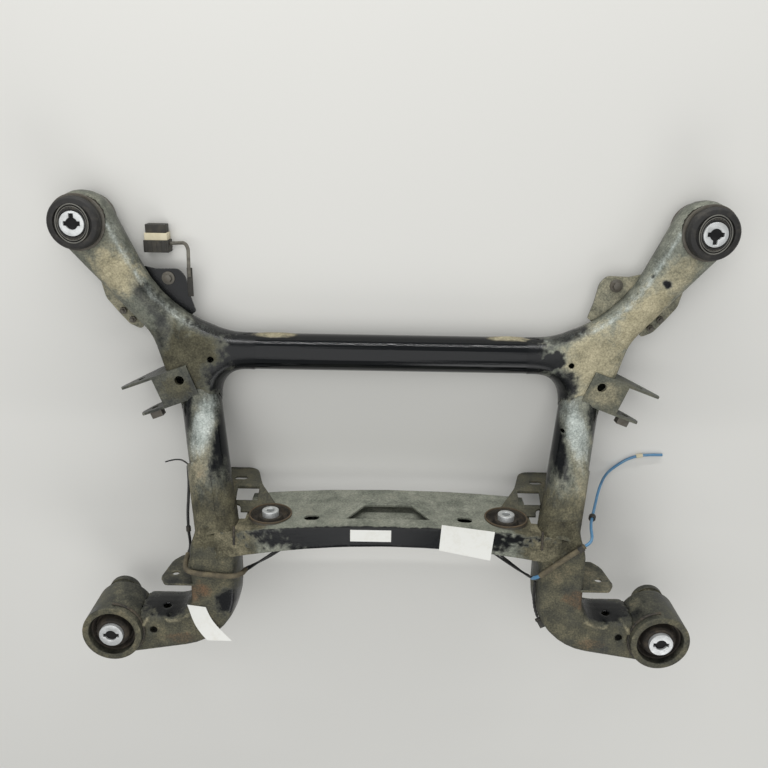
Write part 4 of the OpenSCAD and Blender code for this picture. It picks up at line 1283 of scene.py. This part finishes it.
@dataclass
class Sheets:
    """Tubes and flat or folded sheet pieces: their edges are eased and their faces made ready for dirt."""

    grimes: dict[str, Grime]
    finish: GrimySteel = PAINTED_STEEL
    slot: str = "dusty_paint"
    edge: float = 0.8
    spacing: float = 4.0

    def build(self) -> None:
        """Makes each piece anew from its solid."""
        for node, grime in self.grimes.items():
            shape = solid_copy(node)
            soften(shape, self.edge)
            refine(shape, self.spacing)
            finished(f"{node}_sheet", shape, self.finish, [node], grime)


@dataclass
class InnerShadeRib:
    """The sheet that stands inside the crossmember and shows through its window and holes; left black behind
    the holes, it paints their shade.
    """

    grime: Grime
    half: float = 160.0
    y: float = -150.0
    low: float = 78.0
    high: float = 183.4
    wall: float = 2.0
    spacing: float = 6.0

    def build(self) -> None:
        """Stands the rib under the crossmember's top."""
        shape = bmesh.new()
        size = (2 * self.half, self.wall, self.high - self.low)
        block(shape, (0, self.y, (self.low + self.high) / 2), size)
        refine(shape, self.spacing)
        finished("crossmember_shade_rib", shape, PAINTED_STEEL, (), self.grime)


@dataclass
class Bushes:
    """The six bushes: turned sleeves, moulded rubbers and keyed cores."""

    front: Point = (*FRONT_BUSH, 98.0)
    diff: Point = (199.0, -136.6, 137.0)
    diff_radius: float = 35.0
    rim_thick: float = 3.0
    ring_lift: float = 0.3
    core_edge: float = 1.0
    rubber_edge: float = 1.2
    sleeve_edge: float = 0.5
    rings: tuple[tuple[float, float, float], ...] = ((25.5, 30.0, 2.0), (22.6, 26.4, 1.1))
    mark_radius: float = 24.4
    mark_size: Point = (1.3, 3.0, 1.4)
    marks: tuple[int, ...] = (70, 80, 90, 100, 110, 250, 260, 270, 280, 290)
    core_tops: dict[Row, float] = field(default_factory=lambda: {Row.FRONT: 100.0, Row.REAR: 204.0})
    rear: tuple[float, float] = REAR_BUSH
    dark_depth: float = 4.0
    dark_radius: float = 16.5
    dark_thick: float = 1.0
    dark_facets: int = 40

    def front_details(self, side: Side) -> None:
        """Adds the oval insert's edge and the moulded marks on a front bush.

        Args:
            side: the side of the frame.
        """
        x, y, z = self.front[0] * side.value, self.front[1], self.front[2]
        for i, (half_x, half_y, thick) in enumerate(self.rings):
            oval = arc((x, y, z + self.ring_lift), Vector((half_x, 0, 0)), Vector((0, half_y, 0)))
            edge = lead(f"{side.word}_front_insert_{i}", oval, thick, closed=True)
            dressed(edge, INSERT_STEEL)
        shape = bmesh.new()
        for angle in self.marks:
            way = Vector((math.cos(math.radians(angle)), math.sin(math.radians(angle)), 0)) * self.mark_radius
            block(shape, (x + way.x, y + way.y, z), self.mark_size, angle)
        finished(f"{side.word}_front_marks", shape, MARK_RUBBER, flat=True)

    def core(self, side: Side, row: Row) -> None:
        """Makes a keyed core; in the body bushes a black disc down the bore paints its shade.

        Args:
            side: the side of the frame.
            row: the pair of bushes.
        """
        node = f"{side.word}_{row.value}_bush_core"
        shape = solid_copy(node)
        soften(shape, self.core_edge, segments=3)
        if row in self.core_tops:
            x, y = self.front[:2] if row is Row.FRONT else self.rear
            z = self.core_tops[row] - self.dark_depth - self.dark_thick / 2
            # A black disc down the bore of each body bush is painted shade
            bore = bmesh.new()
            radius = self.dark_radius * MM
            bmesh.ops.create_cone(bore, cap_ends=True, segments=self.dark_facets, radius1=radius,
                                  radius2=radius, depth=self.dark_thick * MM,
                                  matrix=Matrix.Translation(Vector((x * side.value, y, z)) * MM))
            finished(f"{side.word}_{row.value}_bore_shade", bore, BORE_SHADE)
        finished(f"{node}_machined", shape, CORE_ALUMINIUM, [node])

    def diff_edge(self, side: Side) -> None:
        """Adds the rusted rim of a differential bush.

        Args:
            side: the side of the frame.
        """
        x, y, z = self.diff[0] * side.value, self.diff[1], self.diff[2]
        rim = arc((x, y, z), Vector((self.diff_radius, 0, 0)), Vector((0, 0, self.diff_radius)))
        dressed(lead(f"{side.word}_diff_rim", rim, self.rim_thick, closed=True), RUSTY_EDGE)

    def build(self) -> None:
        """Makes the bushes of both sides."""
        rubbers = {Row.FRONT: BUSH_RUBBER, Row.REAR: DIRTY_RUBBER, Row.DIFF: DIRTY_RUBBER}
        for side in Side:
            for row, rubber in rubbers.items():
                bush = f"{side.word}_{row.value}_bush"
                self.core(side, row)
                softened(f"{bush}_rubber_moulded", f"{bush}_rubber", self.rubber_edge, rubber)
            for row in (Row.FRONT, Row.DIFF):
                sleeve = f"{side.word}_{row.value}_bush_sleeve"
                softened(f"{sleeve}_turned", sleeve, self.sleeve_edge, PLATED_STEEL)
            self.front_details(side)
            self.diff_edge(side)


@dataclass
class Fasteners:
    """Weld nuts, bolts with washers and studs with nuts."""

    studs: tuple[tuple[float, float], ...] = ((456.0, 184.0), (441.0, 169.0))
    thread: tuple[float, float] = (29.5, 34.8)
    thread_radius: float = 3.0
    pitch: float = 1.25
    thread_depth: float = 0.5
    thread_tip: float = 0.1
    thread_facets: int = 20
    edge: float = 0.7
    strip_edge: float = 0.6

    def threads(self) -> None:
        """Cuts the threads of the studs above their nuts."""
        turns = int((self.thread[1] - self.thread[0]) / self.pitch)
        profile = [(self.thread_tip, self.thread[0])]
        for i in range(turns):
            z = self.thread[0] + i * self.pitch
            profile += [(self.thread_radius, z), (self.thread_radius + self.thread_depth, z + self.pitch / 2)]
        profile.append((self.thread_tip, self.thread[0] + turns * self.pitch))
        for side in Side:
            for i, (x, y) in enumerate(self.studs):
                shape = lathe(profile, self.thread_facets)
                place(shape, (x * side.value, y, 0))
                finished(f"{side.word}_stud_thread_{i}", shape, PLATED_STEEL)

    def build(self) -> None:
        """Makes every fastener."""
        for node in ("clevis_nuts", "sensor_bracket_bolts", "stud_flange_nuts"):
            softened(f"{node}_forged", node, self.edge, PLATED_STEEL)
        softened("sensor_strip_moulded", "sensor_strip", self.strip_edge, BLACK_PLASTIC)
        self.threads()


@dataclass
class Welds:
    """The beads where tubes, pressings and rings are joined."""

    ring_at: Point = (*REAR_BUSH, 187.0)
    ring_radius: float = 51.0
    ring_sweep: tuple[float, float] = (92.0, 268.0)
    ring_steps: int = 90
    ring_thick: float = 5.5
    beam_thick: float = 5.0
    beam_end: tuple[Point, ...] = ((252, -136, 187), (252.4, -152, 187.4), (253, -169, 187))

    def build(self) -> None:
        """Lays the beads on both sides."""
        for side in Side:
            s = side.value
            ring = (self.ring_at[0] * s, *self.ring_at[1:])
            across, over = Vector((self.ring_radius * s, 0, 0)), Vector((0, self.ring_radius, 0))
            spots = arc(ring, across, over, self.ring_sweep, self.ring_steps)
            bead(f"{side.word}_ring_weld", spots, self.ring_thick)
            spots = smooth_route([(x * s, y, z) for x, y, z in self.beam_end], per=10)
            bead(f"{side.word}_beam_weld", spots, self.beam_thick)


@dataclass
class Labels:
    """Two blank stickers on the crossmember and a blank paper tag on the left foot."""

    thick: float = 0.35
    cuts: int = 14
    small: tuple[Point, ...] = ((-62, -138, 187.3), (5, -138, 187.3), (5, -159, 187.3), (-62, -159, 187.3))
    large: tuple[Point, ...] = ((87, -126, 188), (174, -137, 188), (169, -189, 188), (84, -172, 188))
    tag: tuple[Point, ...] = ((-339, -286, 188), (-303, -287, 188), (-264, -348, 188), (-302, -348, 188))

    def sheet(self, name: str, corners: Sequence[Point], curl: float, bow: float = 0.0) -> None:
        """Lays one blank sheet.

        Args:
            name: the sheet's name.
            corners: its corners in millimetres.
            curl: how far its last edge lifts, in millimetres.
            bow: how far its sides curve to its right, in millimetres.
        """
        shape = bmesh.new()
        shape.faces.new([shape.verts.new(Vector(c) * MM) for c in corners])
        bmesh.ops.subdivide_edges(shape, edges=shape.edges, cuts=self.cuts, use_grid_fill=True)
        pairs = (corners[:2], corners[2:])
        head, tail = (sum((Vector(c) for c in pair), Vector()) / 2 * MM for pair in pairs)
        aside = (tail - head).cross(Vector((0, 0, 1))).normalized()
        for vert in shape.verts:
            share = (vert.co - head).dot(tail - head) / (tail - head).length_squared
            vert.co.z += curl * MM * max(0.0, share) ** 2
            vert.co += aside * bow * MM * math.sin(math.pi * share)
        bmesh.ops.recalc_face_normals(shape, faces=shape.faces)
        bmesh.ops.solidify(shape, geom=shape.faces, thickness=self.thick * MM)
        bmesh.ops.recalc_face_normals(shape, faces=shape.faces)
        finished(name, shape, PAPER)

    def build(self) -> None:
        """Lays the stickers and the tag."""
        self.sheet("small_sticker", self.small, curl=0.0)
        self.sheet("large_sticker", self.large, curl=1.5)
        self.sheet("paper_tag", self.tag, curl=9.0, bow=7.0)


def other_side(marks: Sequence[Patch | Ridge]) -> tuple[Patch | Ridge, ...]:
    """Blots or folds given for one side, mirrored to the other."""
    return tuple(mark.mirrored() for mark in marks)


def both(*patches: Patch) -> tuple[Patch, ...]:
    """Patches given for the right side, with their mirror images."""
    return patches + other_side(patches)


def hoop(x: float, y: float, radius: float, steps: int = 24) -> tuple[tuple[float, float], ...]:
    """A circle in plan, as the line of a pressed ring."""
    turns = [math.tau * i / steps for i in range(steps + 1)]
    return tuple((x + radius * math.cos(a), y + radius * math.sin(a)) for a in turns)


# Where dirt lies on each piece, the folds pressed into it, and where highlight and shade are painted
ARM_RIDGE = ((455.7, 333), (432, 285), (412, 248), (391, 217), (355, 186), (334, 172), (251, 150))
ARM_FLANK = ((445, 343), (421, 295), (401, 258), (380, 227), (344, 196), (325, 184), (262, 164))
# The pale lines along each arm's fold and flank are scraped paint and painted highlight
ARM_FOLDS_AND_SHEEN = (Ridge(ARM_RIDGE, 3.6, 0.8, 50, Coat.SCUFF, 0.95), Ridge(ARM_FLANK, 13, 0.0, 44, Coat.SCUFF, 0.4))
LEFT_ARM = Grime(
    {Coat.DUST: 0.82, Coat.EARTH: 0.34},
    (
        Patch(Coat.MUD, (-446, 258, 76), (44, 28, 60), -48, 0.86, 1.1),
        Patch(Coat.MUD, (-250, 150, 60), (32, 8, 14), 0, 0.7),
        Patch(Coat.EARTH, (-336, 108, 76), (88, 74, 60), 0, 0.95, 1.0),
        Patch(Coat.CLEAN_AND_SHADE, (-397, 214, 70), (40, 15, 40), -50, 0.62, 0.8),
        Patch(Coat.CLEAN_AND_SHADE, (-378, 160, 56), (14, 40, 60), -10, 0.7, 0.9),
        Patch(Coat.CLEAN_AND_SHADE, (-240, 122, 50), (52, 60, 60), 0, 1.0, 0.8),
        Patch(Coat.CLEAN_AND_SHADE, (-296, 164, 50), (50, 14, 60), -14, 0.8),
        Patch(Coat.CLEAN_AND_SHADE, (-284, 78, 50), (40, 32, 60), -40, 0.92),
    ),
    other_side(ARM_FOLDS_AND_SHEEN), worn=0.6)
RIGHT_ARM = Grime(
    {Coat.DUST: 0.96, Coat.EARTH: 0.1},
    (
        Patch(Coat.MUD, (452, 258, 76), (60, 24, 60), 48, 0.66, 1.2),
        Patch(Coat.MUD, (408, 194, 76), (80, 27, 60), 52, 0.88, 1.0),
        Patch(Coat.MUD, (338, 122, 76), (54, 62, 60), 0, 0.8, 1.1),
        Patch(Coat.MUD, (326, 56, 80), (26, 30, 60), 0, 0.7, 1.1),
        Patch(Coat.MUD, (232, 146, 60), (30, 8, 14), 0, 0.6),
        Patch(Coat.CLEAN_AND_SHADE, (443, 254, 76), (8, 6, 12), -40, 1.0, 0.8),
        Patch(Coat.CLEAN_AND_SHADE, (421, 264, 76), (6, 2, 12), 50, 0.8, 0.6),
        Patch(Coat.CLEAN_AND_SHADE, (268, 120, 74), (25, 16, 30), 25, 1.0, 0.4),
        Patch(Coat.CLEAN_AND_SHADE, (226, 122, 50), (40, 60, 60), 0, 1.0, 0.8),
        Patch(Coat.CLEAN_AND_SHADE, (292, 163, 50), (40, 13, 60), 14, 0.75),
        Patch(Coat.CLEAN_AND_SHADE, (284, 74, 50), (36, 32, 60), 40, 0.92, 0.7),
    ),
    ARM_FOLDS_AND_SHEEN, worn=0.6)
LEG_BLOTS_AND_SHEEN = (
    # The pale streak down the leg top is scraped paint and painted highlight
    Patch(Coat.SCUFF, (314, 4, 100), (15, 44, 70), 12, 0.95, 1.1),
    Patch(Coat.MUD, (320, -56, 130), (17, 56, 70), 12, 0.5, 1.3),
    Patch(Coat.EARTH, (292, -132, 140), (70, 56, 90), 0, 0.8, 1.0),
    Patch(Coat.RUST, (316, -60, 130), (14, 20, 60), 0, 0.3, 1.0),
    Patch(Coat.CLEAN_AND_SHADE, (282, -20, 84), (14, 84, 70), 12, 0.92, 0.7),
    Patch(Coat.CLEAN_AND_SHADE, (346, 14, 70), (10, 40, 70), 12, 0.8, 0.8),
)
LEFT_LEG = Grime({Coat.EARTH: 0.34, Coat.DUST: 0.6, Coat.MUD: 0.14}, other_side(LEG_BLOTS_AND_SHEEN), settle=0.8)
RIGHT_LEG = Grime({Coat.EARTH: 0.14, Coat.DUST: 0.85, Coat.MUD: 0.2}, LEG_BLOTS_AND_SHEEN, settle=0.8)
FOOT_FILM = {Coat.EARTH: 0.66, Coat.DUST: 0.5, Coat.MUD: 0.1, Coat.RUST: 0.06}
FOOT_FOLDS = (
    Ridge(hoop(398, -337, 11), 2.6, 1.4, 170),
    Ridge(((338, -306), (354, -315), (370, -317), (392, -301), (402, -306), (414, -326)), 4, 4.5, 150,
          Coat.MUD, 0.55),
)
FOOT_BLOTS_AND_SHADE = (
    Patch(Coat.EARTH, (292, -140, 170), (60, 46, 90), 0, 0.95, 1.0),
    # A dark patch of bare paint over each foot's front wall is painted shade
    Patch(Coat.CLEAN_AND_SHADE, (378, -305, 146), (42, 16, 36), 0, 0.95, 0.5),
    Patch(Coat.RUST, (324, -262, 186), (30, 20, 20), -20, 0.46),
    Patch(Coat.RUST, (352, -352, 186), (30, 12, 20), 0, 0.4),
)
TAG_SIDE = Patch(Coat.CLEAN_AND_SHADE, (-268, -278, 170), (22, 26, 40), 0, 0.9, 0.6)
LEFT_FOOT = Grime(FOOT_FILM, (*other_side(FOOT_BLOTS_AND_SHADE), TAG_SIDE), other_side(FOOT_FOLDS), crust=0.8)
RIGHT_FOOT = Grime(FOOT_FILM, FOOT_BLOTS_AND_SHADE, FOOT_FOLDS, crust=0.8)
TUBE = Grime({}, both(Patch(Coat.MUD, (196, 152, 46), (34, 4, 14), 0, 0.62)), worn=0.0, crust=3.0)
BEAM_ENDS = both(
    Patch(Coat.EARTH, (256, -150, 160), (52, 70, 90), 0, 1.0),
    Patch(Coat.MUD, (250, -160, 170), (34, 40, 90), 0, 0.3),
)
BEAM_TOP = Patch(Coat.CLEAN_AND_SHADE, (0, -152, 187), (232, 34, 5), 0, 0.97, 0.4)
BEAM = Grime(
    {Coat.DUST: 0.92, Coat.EARTH: 0.1, Coat.RUST: 0.06},
    (*BEAM_ENDS, BEAM_TOP),
    (Ridge(((-158, -71), (-78, -67), (-8, -65), (82, -64), (174, -69)), 3.5, 0.0, 150, Coat.SCUFF, 0.95),),
    settle=0.0, worn=0.5)
BEAM_BACK = Grime({Coat.DUST: 0.3, Coat.EARTH: 0.4})
# Grey dust in the rib's middle; its black paint behind the crossmember's holes is painted shade
RIB = Grime({Coat.DUST: 0.1}, (Patch(Coat.DUST, (0, -150, 100), (84, 20, 40), 0, 0.85),), creased=0.0)
TOE_BRACKET = Grime({Coat.EARTH: 0.6, Coat.DUST: 0.4, Coat.RUST: 0.08}, settle=0.1)
CLEVIS_PLATE = Patch(Coat.EARTH, (360, 64, 78), (30, 24, 9), 0, 0.6)
CLEVIS_MUD = Patch(Coat.MUD, (360, 66, 78), (26, 22, 9), 0, 0.5, 1.2)
LEFT_CLEVIS = Grime({Coat.DUST: 0.36, Coat.EARTH: 0.32}, (CLEVIS_PLATE.mirrored(),), worn=0.8)
RIGHT_CLEVIS = Grime({Coat.DUST: 0.7, Coat.EARTH: 0.5}, (CLEVIS_MUD,), worn=0.8)
LINK_PLATE = Grime({Coat.EARTH: 0.7, Coat.MUD: 0.24, Coat.DUST: 0.5, Coat.RUST: 0.1}, worn=0.8)
BLACK_SHEET = Grime({}, worn=0.4)
MUDDY_SHEET = Grime({Coat.MUD: 0.42, Coat.DUST: 0.7, Coat.EARTH: 0.2})


def main() -> None:
    """Builds the studio and the frame's pieces in order."""
    logging.basicConfig(level=logging.INFO)
    Studio().build()
    Cords().build()
    Loom().build()
    FrontArm(Side.LEFT, LEFT_ARM).build()
    FrontArm(Side.RIGHT, RIGHT_ARM).build()
    LegTube(Side.LEFT, LEFT_LEG).build()
    LegTube(Side.RIGHT, RIGHT_LEG).build()
    RearFoot(Side.LEFT, LEFT_FOOT).build()
    RearFoot(Side.RIGHT, RIGHT_FOOT).build()
    Sheets({"front_cross_tube": TUBE}, GLOSSY_STEEL, "black_paint", spacing=16.0).build()
    beams = {"crossmember_channel": BEAM, "crossmember_closing_plate": BEAM_BACK}
    Sheets(beams, GLOSSY_STEEL, "black_paint", spacing=6.0).build()
    InnerShadeRib(RIB).build()
    plates = {"left_sensor_bracket": BLACK_SHEET, "right_sensor_bracket": MUDDY_SHEET,
              "left_link_clevis": LEFT_CLEVIS, "right_link_clevis": RIGHT_CLEVIS}
    for side in Side:
        plates[f"{side.word}_toe_link_bracket"] = TOE_BRACKET
        plates[f"{side.word}_stud_flange"] = MUDDY_SHEET
    Sheets(plates).build()
    Sheets({f"{side.word}_lower_link_plate": LINK_PLATE for side in Side}, slot="rusty_steel").build()
    Bushes().build()
    Fasteners().build()
    Welds().build()
    Labels().build()


if __name__ == "__main__":
    main()
